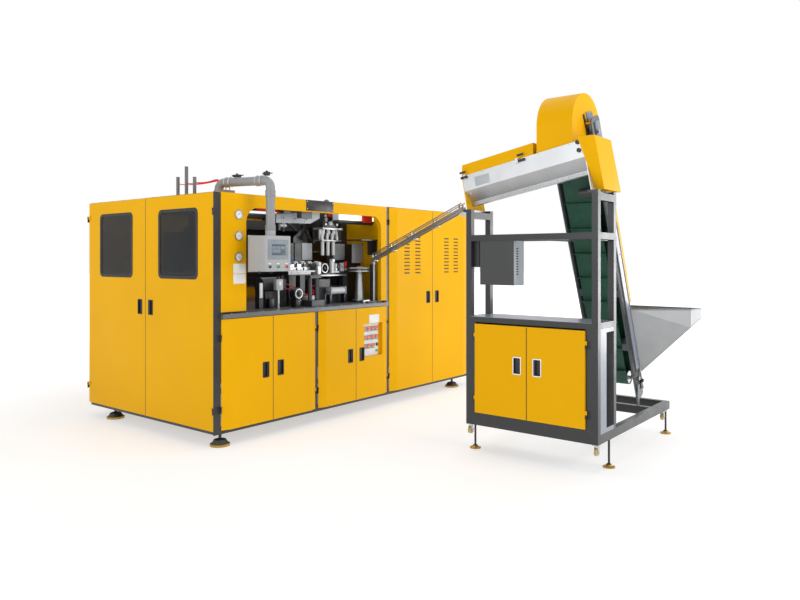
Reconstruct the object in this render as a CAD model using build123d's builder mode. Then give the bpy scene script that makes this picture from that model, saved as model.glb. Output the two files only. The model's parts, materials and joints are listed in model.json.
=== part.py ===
from build123d import *
import math
import os

os.makedirs("parts", exist_ok=True)

# Millimetres. X runs along the machine's front, Y to its back, Z up.
# The origin is the underside centre of the main cabinet's front left levelling foot.

# Main cabinet
machine_length = 3570
machine_depth = 1880
frame_top = 1990
floor_gap = 100
foot_inset_x = 100
foot_inset_y = 50
corner_post = 70
rail = 50
slim_post = 36
sheet = 3
seat_gap = 0.5

left = -foot_inset_x
front = -foot_inset_y
right = left + machine_length
back = front + machine_depth

# Work table and the open bay above it
table_top = 1035
table_thickness = 35
table_depth = 1780
bay_length = 2028
gauge_panel_width = 248
bay_column_width = 85
bay_beam_height = 105
bay_arch_radius = 122
surround_return = 40
surround_gap = 15
wall_post_back = 600
wall_rail_z = 1850

bay_left = left + corner_post
bay_right = bay_left + bay_length
opening_left = bay_left + gauge_panel_width
opening_right = bay_right - bay_column_width
cabinet_left = bay_right + slim_post
lower_split = bay_left + 1024
table_bottom = table_top - table_thickness

# Doors, all folded sheet trays
door_proud = 30
door_edge = 6
door_gap = 2
door_bottom = 130
lower_door_chamfer = 74
cabinet_door_chamfer = 100
end_door_depth = 20
end_door_edge = 3
cup_width = 55
cup_height = 115
cup_depth = 16
cup_inset = 52
lower_cup_z = 555
upper_cup_z = 1057
window_width = 515
window_height = 540
window_z = 1590
window_radius = 40
pane_thickness = 5
pane_lap = 12
louvre_width = 97
louvre_height = 14
louvre_pitch = 37
louvre_rows = 11
louvre_spread = 187
louvre_z = 1517

# Hinges: a fixed leaf and knuckle on the frame, a turning knuckle on the door
hinge_height = 55
hinge_leaf = 24
leaf_thickness = 4
knuckle_radius = 5.5
pin_radius = 3
pin_clearance = 0.05
knuckle_gap = 0.4
axis_offset = 8
axis_height = 10
end_axis_offset = 6
end_axis_out = 8
hinge_low_z = 262
hinge_mid_z = 822
hinge_high_z = 1808

# Recessed control panel in the fourth lower door
recess_width = 276
recess_height = 318
recess_z = 679
recess_depth = 34
recess_offset = 95
meter_size = 48
meter_pitch_x = 60
meter_pitch_z = 84
push_radius = 12
push_travel = 4

# Machine levelling feet
foot_pad_radius = 78
foot_pad_height = 18
foot_cap_radius = 66
foot_cap_top = 58
foot_stud_radius = 12
rear_foot_y = back - 290
right_foot_x = right - 230
foot_ledge = 35

# Operator panel on its swinging pipe arm
pipe_radius = 36
sleeve_radius = 41
arm_bend = 58
arm_pivot_x = left + 260
arm_pivot_y = front + 275
arm_drop_x = left + 390
arm_drop_y = front - 212
arm_z = 2094
box_width = 260
box_depth = 200
box_height = 280
box_bottom = 1370
bezel_width = 223
bezel_height = 168
bezel_z = 1541
key_radius = 11
key_z = 1407
key_pitch = 88
key_travel = 4

# Preform loader: frame, cabinet, elevator, hopper and aligner trough
tube = 45
loader_left = left + 1194
loader_right = left + 1518
loader_near = front - 2598
loader_far = front - 1541
base_right = left + 2705
base_bottom = 205
base_rail = 65
shelf_z = 1028
mid_rail_top = 1650
near_post_top = 1920
far_post_top = 1828
foot_in_near = 246
foot_in_far = 96
foot_in_back = 35
loader_door_width = 880
loader_door_bottom = 305
loader_door_top = 977
loader_door_depth = 18
loader_cup_z = 690

elevator_near = front - 2450
elevator_width = 350
plate_thickness = 10
plate_width = 150
lean_deg = 23.5
tail_x = left + 2359
tail_z = 492
belt_y = front - 2260
belt_width = 250
elevator_length = 2075
leg_length = 185
plate_end = 110
pulley_radius = 52
pulley_clearance = 0.4
belt_thickness = 5
shaft_radius = 15
cleat_height = 28
cleat_thickness = 6
cleat_count = 10
cover_rise = 50
cover_low = 640
cover_high = 1870

hopper_rim_z = 1066
hopper_mouth_x = left + 2192
hopper_back_x = left + 2675
hopper_side_x = left + 2488
hopper_half_near = 585
hopper_half_far = 300
hopper_side_in = 30
hopper_foot_x = left + 2440
hopper_foot_z = 540
hopper_wing = 32
hopper_lip_front = 147
hopper_lip_back = 83
hopper_sheet = 3

trough_left = left + 1220
trough_low_y = front - 1483
trough_low_z = 1986
trough_slope_deg = 10.6
trough_length = 1010
trough_width = 256
trough_wall = 122
trough_slant = 82
hood_height = 92
hood_length = 625
roller_radius = 26
roller_spacing = 68
roller_drop = 44

# Discharge dome over the elevator head
dome_out = 66
dome_rise = 30
dome_radius = 240
dome_near = front - 2397
dome_far = front - 2122
dome_skirt = 157
dome_side_skirt = 210

# Preform chute from the trough down into the bay
chute_foot_x = left + 1983
chute_foot_y = front + 70
chute_foot_z = 1440
chute_head_x = left + 1372
chute_head_y = front - 1405
chute_head_z = 1850
chute_rail_height = 34
chute_rail_thickness = 8
chute_gap = 26
guard_rise = 62

# Transfer mechanism in the bay
bed_left = left + 1060
bed_right = left + 1850
bed_front = front + 300
bed_back = front + 470
bed_top = 1345
bed_thickness = 30
bed_leg = 60
slide_rail_width = 26
slide_rail_height = 15
slide_y = front + 385
carriage_left = left + 1100
carriage_length = 390
carriage_gap = 0.4
carriage_travel = 300
grip_count = 4
star_x = left + 1925
star_y = front + 205
star_radius = 112
star_thickness = 12
star_z = 1372
pocket_radius = 14
pocket_count = 8
press_y = front + 350
press_x = left + 1612
press_stroke = 50
flange_z = 1758
moving_plate_z = 1652
column_x = left + 1640
column_y = front + 560
column_size = 60
head_beam_z = 1880

# Blow clamp and oven behind the bay
clamp_y = front + 760
clamp_z = 1420
clamp_rear_x = left + 200
clamp_fixed_x = left + 700
clamp_plate = 50
clamp_width = 420
clamp_height = 560
tie_radius = 20
tie_spread_y = 150
tie_spread_z = 200
platen_x = left + 430
mould_depth = 80
mould_open = 60
slide_clearance = 0.05
oven_left = left + 760
oven_length = 1220
oven_front = front + 1150
oven_depth = 340
oven_height = 600


def save(part, name):
    part.label = name
    export_step(part, f"parts/{name}.step")


def gather(name, pieces):
    """Several touching pieces kept as separate solids in one node."""
    solids = []
    for piece in pieces:
        solids.extend(piece.solids())
    save(Compound(solids), name)


def bar(x0, x1, y0, y1, z0, z1, mode=Mode.ADD):
    """A straight bar or block given by its two corners."""
    with Locations(((x0 + x1) / 2, (y0 + y1) / 2, (z0 + z1) / 2)):
        Box(x1 - x0, y1 - y0, z1 - z0, mode=mode)


def rod(x, y, z0, z1, radius, mode=Mode.ADD):
    """An upright round bar."""
    with Locations((x, y, (z0 + z1) / 2)):
        Cylinder(radius, z1 - z0, mode=mode)


def pin(start, end, radius, mode=Mode.ADD):
    """A round bar between two points."""
    way = Vector(*end) - Vector(*start)
    seat = Plane(origin=start, z_dir=way)
    with Locations(seat.location):
        Cylinder(radius, way.length, align=(Align.CENTER, Align.CENTER, Align.MIN), mode=mode)


def block(x0, x1, y0, y1, z0, z1):
    with BuildPart() as piece:
        bar(x0, x1, y0, y1, z0, z1)
    return piece.part


# Welded frame of square tube; posts run through and rails butt against them
frame_left = left + end_door_depth + seat_gap
bay_rear = back - rail
right_post = right - rail
split_right = lower_split + slim_post
wall_post = front + wall_post_back
table_rail = table_bottom - rail
top_rail = frame_top - rail
frame = [
    block(left, frame_left, front, front + door_gap, floor_gap, frame_top),
    block(frame_left, bay_left, front, front + corner_post, floor_gap, frame_top),
    block(frame_left, bay_left, back - corner_post, back, floor_gap, frame_top),
    block(lower_split, split_right, front, front + rail, floor_gap, table_bottom),
    block(lower_split, split_right, bay_rear, back, floor_gap, frame_top),
    block(bay_right, cabinet_left, wall_post, wall_post + corner_post, table_bottom, top_rail),
    block(bay_right, cabinet_left, front + rail, wall_post, wall_rail_z, wall_rail_z + slim_post),
]
for y in (front, bay_rear):
    frame.append(block(bay_right, cabinet_left, y, y + rail, floor_gap, frame_top))
    frame.append(block(right_post, right, y, y + rail, floor_gap, frame_top))
    for z in (floor_gap, table_rail):
        frame.append(block(bay_left, lower_split, y, y + rail, z, z + rail))
        frame.append(block(split_right, bay_right, y, y + rail, z, z + rail))
    for z in (floor_gap, top_rail):
        frame.append(block(cabinet_left, right_post, y, y + rail, z, z + rail))
frame.append(block(bay_left, bay_right, front, front + rail, top_rail, frame_top))
frame.append(block(bay_left, lower_split, bay_rear, back, top_rail, frame_top))
frame.append(block(split_right, bay_right, bay_rear, back, top_rail, frame_top))
for z in (floor_gap, table_rail, top_rail):
    y0, y1 = front + corner_post, back - corner_post
    frame.append(block(frame_left, bay_left, y0, y1, z, z + rail))
    frame.append(block(bay_right, cabinet_left, front + rail, bay_rear, z, z + rail))
for z in (floor_gap, top_rail):
    frame.append(block(right_post, right, front + rail, bay_rear, z, z + rail))
for z in (floor_gap, table_rail):
    frame.append(block(lower_split, split_right, front + rail, bay_rear, z, z + rail))
# Ledges over the rear feet, which stand in from the side rails
for x0, x1 in ((bay_left, foot_ledge), (right_foot_x - foot_ledge, right_post)):
    y0, y1 = rear_foot_y - foot_ledge, rear_foot_y + foot_ledge
    frame.append(block(x0, x1, y0, y1, floor_gap, floor_gap + 10))
gather("main_frame", frame)

# Sheet surround of the bay: gauge panel, beam and right column in one folded piece
surround_bottom = table_top + surround_gap
beam_bottom = frame_top - bay_beam_height
gauge_x = left + 239
gauge_heights = (1823, 1652, 1483)
gauge_hole = 34


def arch(inset):
    """The bay opening's outline, with rounded upper corners."""
    with BuildSketch(Plane.XZ.offset(-front)) as opening:
        with BuildLine():
            Polyline(
                (opening_left - inset, surround_bottom),
                (opening_left - inset, beam_bottom + inset),
                (opening_right + inset, beam_bottom + inset),
                (opening_right + inset, surround_bottom),
                close=True,
            )
        make_face()
        crown = opening.vertices().group_by(Axis.Y)[-1]
        fillet(crown, bay_arch_radius + inset)
    return opening.sketch


with BuildPart() as bay_surround:
    bar(bay_left, bay_right, front - sheet, front, surround_bottom, frame_top)
    # The sheet turns inward along the opening
    extrude(arch(sheet), amount=-surround_return)
    extrude(arch(0), amount=-surround_return, mode=Mode.SUBTRACT)
    extrude(arch(0), amount=sheet, mode=Mode.SUBTRACT)
    with Locations(*[(gauge_x, front, z) for z in gauge_heights]):
        Cylinder(gauge_hole, 4 * sheet, rotation=(90, 0, 0), mode=Mode.SUBTRACT)
save(bay_surround.part, "bay_surround")

# Three pressure gauges seated in the panel's holes
gauge_radius = 39
gauge_flange = 9
gauge_body = 32
panel_face = front - sheet
with BuildPart() as pressure_gauges:
    for z in gauge_heights:
        pin((gauge_x, panel_face, z), (gauge_x, panel_face - gauge_flange, z), gauge_radius)
        pin((gauge_x, panel_face, z), (gauge_x, front + gauge_body, z), gauge_hole - 0.3)
        pin(
            (gauge_x, panel_face - gauge_flange + 5, z),
            (gauge_x, panel_face - gauge_flange - 1, z),
            gauge_radius - 6,
            Mode.SUBTRACT,
        )
save(pressure_gauges.part, "pressure_gauges")

# Table plate with a rounded front lip
with BuildPart() as work_table:
    bar(bay_left, bay_right, front - door_proud, front + table_depth, table_bottom, table_top)
    fillet(work_table.edges().filter_by(Axis.X).group_by(Axis.Y)[0].sort_by(Axis.Z)[-1], 5)
save(work_table.part, "work_table")

# Fixed sheets: back, right end, roof and the bay's right wall
back_split = lower_split + slim_post / 2
back_join = bay_right + slim_post / 2
roof_back = front + 980
wall_front = front + surround_return + 5
wall_back = wall_post + corner_post
wall_top = wall_rail_z + slim_post
gather("cover_panels", [
    block(left + 40, back_split - 1, back, back + sheet, door_bottom, frame_top),
    block(back_split + 1, back_join - 1, back, back + sheet, door_bottom, frame_top),
    block(back_join + 1, right, back, back + sheet, door_bottom, frame_top),
    block(right, right + sheet, front + sheet, back, door_bottom, frame_top),
    block(cabinet_left, right, front + sheet, back, frame_top, frame_top + sheet),
    block(bay_left - 40, bay_left + 780, front + sheet, roof_back, frame_top, frame_top + sheet),
    block(bay_right - sheet, bay_right, wall_front, wall_back, table_top, wall_top),
])


def levelling_foot(x, y, pad, pad_height, cap, cap_top, stud, top):
    """One adjustable foot turned about its own axis, with its lock nut."""
    with BuildPart() as foot:
        with BuildSketch(Plane.XZ) as profile:
            with BuildLine():
                Polyline(
                    (0, 0),
                    (pad, 0),
                    (pad, pad_height),
                    (cap, pad_height + 4),
                    (cap * 0.72, cap_top - 8),
                    (stud + 8, cap_top),
                    (stud, cap_top),
                    (stud, top),
                    (0, top),
                    close=True,
                )
            make_face()
        revolve(axis=Axis.Z)
        with BuildSketch(Plane.XY.offset(top - stud)):
            RegularPolygon(stud + 7, 6)
        extrude(amount=stud)
    return Location((x, y, 0)) * foot.part


near_line = loader_near + tube / 2
far_line = loader_far - tube / 2
loader_foot_spots = (
    (loader_left + foot_in_near, near_line), (base_right - foot_in_back, near_line),
    (loader_left + foot_in_far, far_line), (base_right - foot_in_back, far_line),
)
feet = []
for x in (0, right_foot_x):
    for y in (0, rear_foot_y):
        feet.append(levelling_foot(
            x, y, foot_pad_radius, foot_pad_height, foot_cap_radius, foot_cap_top,
            foot_stud_radius, floor_gap,
        ))
for x, y in loader_foot_spots:
    feet.append(levelling_foot(x, y, 43, 8, 30, 26, 8, base_bottom))
gather("levelling_feet", feet)


def hinged_tray(width, height, depth, chamfer, cup_z, hinge_z, axis, window=False,
                louvres=False, recess=False):
    """A folded door tray. Local x runs from the hinge edge, y into the machine, z up.

    The outer face is at y = 0 and the open back at y = depth.
    Heights are measured from the door's lower edge.
    """
    axis_x, axis_y = axis
    with BuildPart() as tray:
        with BuildSketch(Plane.XY):
            with BuildLine():
                if chamfer:
                    Polyline(
                        (0, depth), (0, depth - door_edge), (chamfer, 0), (width, 0),
                        (width, depth), close=True,
                    )
                else:
                    Polyline((0, depth), (0, 0), (width, 0), (width, depth), close=True)
            make_face()
        extrude(amount=height)
        offset(amount=-sheet, openings=tray.faces().sort_by(Axis.Y)[-1])
        # Recessed pull with a grip bar along its hinge side
        cup_x = width - cup_inset - cup_width / 2
        with Locations((cup_x, cup_depth / 2, cup_z)):
            Box(cup_width + 2 * sheet, cup_depth, cup_height + 2 * sheet)
        with Locations((cup_x, (cup_depth - sheet) / 2, cup_z)):
            Box(cup_width, cup_depth - sheet, cup_height, mode=Mode.SUBTRACT)
        with Locations((cup_x + cup_width / 2 - 7, (cup_depth - sheet) / 2 + 1, cup_z)):
            Box(14, cup_depth - sheet - 2, cup_height)
        if window:
            middle = height - (frame_top - 5 - window_z)
            with BuildSketch(Plane.XZ.offset(-sheet - 1)):
                with Locations((width / 2, middle)):
                    RectangleRounded(window_width, window_height, window_radius)
            extrude(amount=sheet + 2, mode=Mode.SUBTRACT)
        if louvres:
            middle = height - (frame_top - 5 - louvre_z)
            for side in (-0.5, 0.5):
                with Locations((width / 2 + side * louvre_spread, sheet / 2, middle)):
                    with Locations(Plane.XZ):
                        with GridLocations(1, louvre_pitch, 1, louvre_rows):
                            Box(louvre_width, louvre_height, 2 * sheet, mode=Mode.SUBTRACT)
        if recess:
            middle = recess_offset + recess_width / 2
            low = recess_z - door_bottom
            with Locations((middle, (recess_depth + sheet) / 2, low)):
                Box(recess_width + 2 * sheet, recess_depth + sheet, recess_height + 2 * sheet)
            with Locations((middle, recess_depth / 2, low)):
                Box(recess_width, recess_depth, recess_height, mode=Mode.SUBTRACT)
        # Turning knuckles, bored from below
        for z in hinge_z:
            z0 = z + hinge_height / 2 + knuckle_gap
            z1 = z + hinge_height
            rod(axis_x, axis_y, z0, z1, knuckle_radius)
            if axis_y > 0:
                bar(axis_x, 6, axis_y - 5, axis_y + 5, z0, z1)
            else:
                bar(axis_x - 2, 30, axis_y, 0, z0, z1)
            rod(axis_x, axis_y, z0 - 1, z0 + 18, pin_radius + pin_clearance, Mode.SUBTRACT)
    return tray.part


def fixed_half(depth, axis, edge, hinge_z):
    """The frame's half of each hinge, in the same local axes as its door."""
    axis_x, axis_y = axis
    halves = []
    for z in hinge_z:
        with BuildPart() as half:
            middle = z + hinge_height / 2
            if axis_y > 0:
                seat = depth + seat_gap
                far = axis_x - hinge_leaf
                bar(far, -edge - 1, seat - leaf_thickness, seat, z, z + hinge_height)
                bar(axis_x - 5, axis_x + 5, axis_y, seat, z, middle)
            else:
                bar(-edge - leaf_thickness, -edge, 2, 36, z, z + hinge_height)
                bar(axis_x - 4, -edge, axis_y - 5, 4, z, middle)
            rod(axis_x, axis_y, z, middle, knuckle_radius)
            rod(axis_x, axis_y, z, middle + 16, pin_radius)
        halves.append(half.part)
    return halves


def place(shape, corner, x_dir, mirrored):
    """Set a door or hinge from its local axes onto the machine."""
    if mirrored:
        shape = mirror(shape, about=Plane.YZ)
    return Plane(origin=corner, x_dir=x_dir, z_dir=(0, 0, 1)).location * shape


hinge_halves = []


def hang(name, corner, x_dir, mirrored, width, height, depth, chamfer, cup, hinges, **extras):
    """Make one door and its fixed hinge halves at the given hinge corner."""
    flat = extras.pop("flat", False)
    axis = (-end_axis_offset, -end_axis_out) if flat else (-axis_offset, depth - axis_height)
    base = corner[2]
    marks = [z - base for z in hinges]
    tray = hinged_tray(width, height, depth, chamfer, cup - base, marks, axis, **extras)
    save(place(tray, corner, x_dir, mirrored), name)
    edge = end_door_edge if flat else door_gap
    for half in fixed_half(depth, axis, edge, marks):
        hinge_halves.append(place(half, corner, x_dir, mirrored))


# Lower doors in two pairs, each hinged at its outer edge
lower_height = table_bottom - 5 - door_bottom
cabinet_height = frame_top - 5 - door_bottom
pair_one = (lower_split - bay_left) / 2 - 1.5 * door_gap
pair_two = (bay_right - split_right) / 2 - 1.5 * door_gap
pair_cabinet = (right - cabinet_left) / 2 - 1.5 * door_gap
door_face = front - door_proud - seat_gap
ahead = (1, 0, 0)
lower_doors = [
    ("lower_door_1", bay_left + door_gap, False, pair_one, False),
    ("lower_door_2", lower_split - door_gap, True, pair_one, False),
    ("lower_door_3", split_right + door_gap, False, pair_two, False),
    ("lower_door_4", bay_right - door_gap, True, pair_two, True),
]
for name, x, mirrored, width, recess in lower_doors:
    hang(
        name, (x, door_face, door_bottom), ahead, mirrored, width, lower_height, door_proud,
        lower_door_chamfer, lower_cup_z, (hinge_low_z, hinge_mid_z), recess=recess,
    )

# Electrical cabinet doors with louvres
cabinet_doors = [
    ("cabinet_door_left", cabinet_left + door_gap, False),
    ("cabinet_door_right", right - door_gap, True),
]
for name, x, mirrored in cabinet_doors:
    hang(
        name, (x, door_face, door_bottom), ahead, mirrored, pair_cabinet, cabinet_height,
        door_proud, cabinet_door_chamfer, upper_cup_z, (hinge_low_z, hinge_high_z),
        louvres=True,
    )

# Doors of the left end, each with a glazed window
end_width = machine_depth / 2 - end_door_edge - door_gap / 2
sideways = (0, -1, 0)
end_doors = [
    ("end_door_front", front + end_door_edge, True),
    ("end_door_rear", back - end_door_edge, False),
]
for name, y, mirrored in end_doors:
    hang(
        name, (left, y, door_bottom), sideways, mirrored, end_width, cabinet_height,
        end_door_depth, 0, upper_cup_z, (hinge_low_z, hinge_high_z), window=True, flat=True,
    )
    run = 1 if mirrored else -1
    middle = y + run * end_width / 2
    with BuildPart() as pane:
        with BuildSketch(Plane.YZ.offset(left + sheet)):
            with Locations((middle, window_z)):
                RectangleRounded(
                    window_width + 2 * pane_lap, window_height + 2 * pane_lap, window_radius
                )
        extrude(amount=pane_thickness)
    save(pane.part, name.replace("end_door", "window"))

# Loader doors
loader_middle = (loader_near + loader_far) / 2
loader_pair = loader_door_width / 2 - door_gap / 2
loader_door_height = loader_door_top - loader_door_bottom
loader_hinge_low = loader_door_bottom + 70
loader_hinge_high = loader_door_top - 70 - hinge_height
loader_door_x = loader_left - loader_door_depth - seat_gap
loader_doors = [
    ("loader_door_left", loader_middle + loader_door_width / 2, False),
    ("loader_door_right", loader_middle - loader_door_width / 2, True),
]
for name, y, mirrored in loader_doors:
    hang(
        name, (loader_door_x, y, loader_door_bottom), sideways, mirrored, loader_pair,
        loader_door_height, loader_door_depth, 0, loader_cup_z,
        (loader_hinge_low, loader_hinge_high),
    )
gather("door_hinges", hinge_halves)

# Control panel in the recess of the fourth lower door
recess_right = bay_right - door_gap - recess_offset
recess_left = recess_right - recess_width
recess_floor = door_face + recess_depth
recess_bottom = recess_z - recess_height / 2
panel_width = recess_width - 36
panel_plate = 4
meter_stand = 9
meter_left = recess_left + 6 + meter_pitch_x / 2
meter_top = recess_bottom + recess_height - 52
push_x = meter_left + 3 * meter_pitch_x
push_z = meter_top - 2.5 * meter_pitch_z - 10
push_ring = 8
panel_front = recess_floor - panel_plate
with BuildPart() as control_panel:
    bar(
        recess_left + 1, recess_left + panel_width, panel_front, recess_floor,
        recess_bottom + 1, recess_bottom + recess_height - 1,
    )
    for row in range(3):
        z = meter_top - row * meter_pitch_z
        for column in range(4 if row < 2 else 3):
            x = meter_left + column * meter_pitch_x
            half = meter_size / 2
            bar(x - half, x + half, panel_front - meter_stand, panel_front, z - half, z + half)
    round_x = meter_left + 3 * meter_pitch_x
    round_z = meter_top - 2 * meter_pitch_z + 8
    pin((round_x, panel_front, round_z), (round_x, panel_front - 9, round_z), 19)
    ring_face = panel_front - push_ring
    pin((push_x, panel_front, push_z), (push_x, ring_face, push_z), push_radius + 3)
    pin(
        (push_x, panel_front, push_z), (push_x, ring_face - 1, push_z),
        push_radius + slide_clearance, Mode.SUBTRACT,
    )
save(control_panel.part, "control_panel")

with BuildPart() as panel_button:
    pin(
        (push_x, panel_front - push_travel - 0.5, push_z),
        (push_x, ring_face - push_travel - 1, push_z),
        push_radius,
    )
save(panel_button.part, "panel_button")

# Swinging pipe arm that carries the operator panel
roof_z = frame_top + sheet
arm_foot_z = roof_z + 40
arm_end_z = box_bottom + box_height + 42
spigot_radius = 18
spigot_length = 34
collar_gap = 0.4
with BuildPart() as arm_base:
    rod(arm_pivot_x, arm_pivot_y, roof_z, roof_z + 10, 66)
    rod(arm_pivot_x, arm_pivot_y, roof_z, arm_foot_z, sleeve_radius)
    rod(arm_pivot_x, arm_pivot_y, roof_z, arm_foot_z + spigot_length, spigot_radius)
save(arm_base.part, "arm_base")

with BuildPart() as swing_arm:
    with BuildLine() as arm_route:
        FilletPolyline(
            (arm_pivot_x, arm_pivot_y, arm_foot_z + collar_gap),
            (arm_pivot_x, arm_pivot_y, arm_z),
            (arm_drop_x, arm_drop_y, arm_z),
            (arm_drop_x, arm_drop_y, arm_end_z),
            radius=arm_bend,
        )
    with BuildSketch(Plane(arm_route.line @ 0, z_dir=arm_route.line % 0)):
        Circle(pipe_radius)
    sweep()
    # Clamp sleeves where the pipe meets its elbows
    start = Vector(arm_pivot_x, arm_pivot_y, arm_z)
    reach = Vector(arm_drop_x, arm_drop_y, arm_z) - start
    for share in (0.2, 0.8):
        a = start + reach * (share - 0.045)
        b = start + reach * (share + 0.045)
        pin((a.X, a.Y, a.Z), (b.X, b.Y, b.Z), sleeve_radius)
    rod(arm_drop_x, arm_drop_y, arm_z - 130, arm_z - 84, sleeve_radius)
    rod(arm_drop_x, arm_drop_y, arm_end_z, arm_end_z + 46, sleeve_radius)
    foot = arm_foot_z + collar_gap
    bore = spigot_radius + slide_clearance
    rod(arm_pivot_x, arm_pivot_y, foot, foot + spigot_length + 2, bore, Mode.SUBTRACT)
    rod(arm_drop_x, arm_drop_y, arm_end_z, arm_end_z + spigot_length + 2, bore, Mode.SUBTRACT)
save(swing_arm.part, "swing_arm")

box_top = box_bottom + box_height
box_left = arm_drop_x - 8 - box_width / 2
box_right = box_left + box_width
box_front = arm_drop_y - box_depth / 2
box_back = box_front + box_depth
box_x = (box_left + box_right) / 2
bezel_seat = 4
keys = {
    "key_dark": box_x - key_pitch,
    "key_green": box_x,
    "key_red": box_x + key_pitch,
}
with BuildPart() as hmi_box:
    bar(box_left, box_right, box_front, box_back, box_bottom, box_top)
    fillet(hmi_box.edges().filter_by(Axis.Y), 8)
    offset(amount=-sheet, openings=hmi_box.faces().sort_by(Axis.Y)[-1])
    bar(box_left + sheet, box_right - sheet, box_back - sheet, box_back, box_bottom + sheet,
        box_top - sheet)
    # Thick frame round the screen, with a shallow seat for it
    half = bezel_width / 2
    low = bezel_z - bezel_height / 2
    high = bezel_z + bezel_height / 2
    bar(box_x - half, box_x + half, box_front, box_front + 10, low, high)
    bar(box_x - half + 6, box_x + half - 6, box_front, box_front + bezel_seat, low + 6, high - 6,
        Mode.SUBTRACT)
    for x in keys.values():
        pin((x, box_front, key_z), (x, box_front - 8, key_z), key_radius + 3)
        pin((x, box_front, key_z), (x, box_front - 9, key_z), key_radius + slide_clearance,
            Mode.SUBTRACT)
    # Swivel collar and spigot under the arm
    rod(arm_drop_x, arm_drop_y, box_top - 1, arm_end_z - collar_gap, sleeve_radius)
    rod(arm_drop_x, arm_drop_y, box_top, arm_end_z + spigot_length, spigot_radius)
save(hmi_box.part, "hmi_box")

with BuildPart() as hmi_screen:
    bar(box_x - half + 6.3, box_x + half - 6.3, box_front - 3, box_front + bezel_seat,
        low + 6.3, high - 6.3)
    screen_left = box_x - box_width * 0.26
    screen_right = box_x + box_width * 0.29
    screen_low = box_top - box_height * 0.55
    screen_high = box_top - box_height * 0.24
    bar(screen_left, screen_right, box_front - 4, box_front - 1.5, screen_low, screen_high,
        Mode.SUBTRACT)
save(hmi_screen.part, "hmi_screen")

for name, x in keys.items():
    with BuildPart() as key:
        pin((x, box_front - key_travel - 0.5, key_z), (x, box_front - 13, key_z), key_radius)
        fillet(key.edges().group_by(Axis.Y)[0], 1.5)
    save(key.part, name)

# Frame of the preform loader: posts, rails, base and the braces of the elevator
post_in = loader_left + tube
post_out = loader_right - tube
near_in = loader_near + tube
far_in = loader_far - tube
lower = base_bottom + base_rail
cradle_x = left + 2335
mid = mid_rail_top - 46
shelf_rail = shelf_z - 40
loader_posts = []
for x0, x1 in ((loader_left, post_in), (post_out, loader_right)):
    loader_posts.append(block(x0, x1, loader_near, near_in, lower, near_post_top))
    loader_posts.append(block(x0, x1, far_in, loader_far, lower, far_post_top))
    loader_posts.append(block(x0, x1, near_in, far_in, base_bottom, lower))
    loader_posts.append(block(x0, x1, near_in, far_in, mid, mid_rail_top))
    loader_posts.append(block(x0, x1, near_in, far_in, shelf_rail, shelf_z))
for y0, y1 in ((loader_near, near_in), (far_in, loader_far)):
    loader_posts.append(block(loader_left, base_right, y0, y1, base_bottom, lower))
    loader_posts.append(block(post_in, post_out, y0, y1, mid, mid_rail_top))
    loader_posts.append(block(post_in, post_out, y0, y1, shelf_rail, shelf_z))
for x0 in (cradle_x, base_right - tube):
    loader_posts.append(block(x0, x0 + tube, near_in, far_in, base_bottom, lower))
loader_posts.append(block(post_in, post_out, loader_near, near_in, near_post_top - 50,
                          near_post_top))
loader_posts.append(block(post_in, post_out, far_in, loader_far, far_post_top - 50,
                          far_post_top))
# Saddles that carry the trough's end plates
trough_slope = math.tan(math.radians(trough_slope_deg))
trough_run = trough_length * math.cos(math.radians(trough_slope_deg))
trough_high_y = trough_low_y - trough_run
trough_right = trough_left + trough_width
trough_plate = 6
saddle = 20
for x0, x1 in ((loader_left, post_in), (post_out, loader_right)):
    loader_posts.append(block(x0, x1, loader_near, near_in + 30, near_post_top,
                              near_post_top + saddle))
    loader_posts.append(block(x0, x1, far_in, loader_far + 25, far_post_top,
                              far_post_top + saddle))
# Face strips beside and below the doors
door_low = loader_middle - loader_door_width / 2 - 2
door_high = loader_middle + loader_door_width / 2 + 2
face_depth = 20
for y0, y1 in ((near_in, door_low), (door_high, far_in)):
    loader_posts.append(block(loader_left, loader_left + face_depth, y0, y1, lower, shelf_rail))
loader_posts.append(block(loader_left, loader_left + sheet, door_low, door_high, lower,
                          loader_door_bottom - 3))
gather("loader_frame", loader_posts)

# Cabinet under the shelf: side sheets, floor and the shelf itself
cab_low = lower
cab_high = shelf_rail
shelf_high = shelf_z + sheet
with BuildPart() as shelf:
    bar(loader_left, loader_right, loader_near, loader_far, shelf_z, shelf_high)
    for x0, x1 in ((loader_left, post_in), (post_out, loader_right)):
        bar(x0, x1, loader_near, near_in, shelf_z, shelf_high, Mode.SUBTRACT)
        bar(x0, x1, far_in, loader_far, shelf_z, shelf_high, Mode.SUBTRACT)
gather("loader_cabinet", [
    shelf.part,
    block(post_in, post_out, loader_near, loader_near + sheet, cab_low, cab_high),
    block(post_in, post_out, loader_far - sheet, loader_far, cab_low, cab_high),
    block(loader_right - sheet, loader_right, near_in, far_in, cab_low, cab_high),
    block(post_in, post_out, near_in, far_in, cab_low, cab_low + sheet),
])

# Four small castors, lifted off the floor by the levelling feet
caster_radius = 27
caster_half = 11
fork_half = 15
plate_half = 22
caster_z = base_bottom - 51
fork_top = base_bottom - 17
with BuildPart() as casters:
    for x in (loader_left + 31, base_right - 115):
        for y in (near_line, far_line):
            bar(x - 28, x + 28, y - plate_half, y + plate_half, base_bottom - 6, base_bottom)
            rod(x, y, fork_top - 1, base_bottom - 6, 14)
            bar(x - 15, x + 15, y - fork_half, y + fork_half, fork_top - 4, fork_top)
            for side in (-1, 1):
                y0, y1 = sorted((y + side * fork_half, y + side * (fork_half - 3)))
                bar(x - 12, x + 12, y0, y1, caster_z - 9, fork_top)
            pin((x, y - fork_half - 3, caster_z), (x, y + fork_half + 3, caster_z), 5)
            pin((x, y - caster_half, caster_z), (x, y + caster_half, caster_z), caster_radius)
save(casters.part, "casters")

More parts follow.
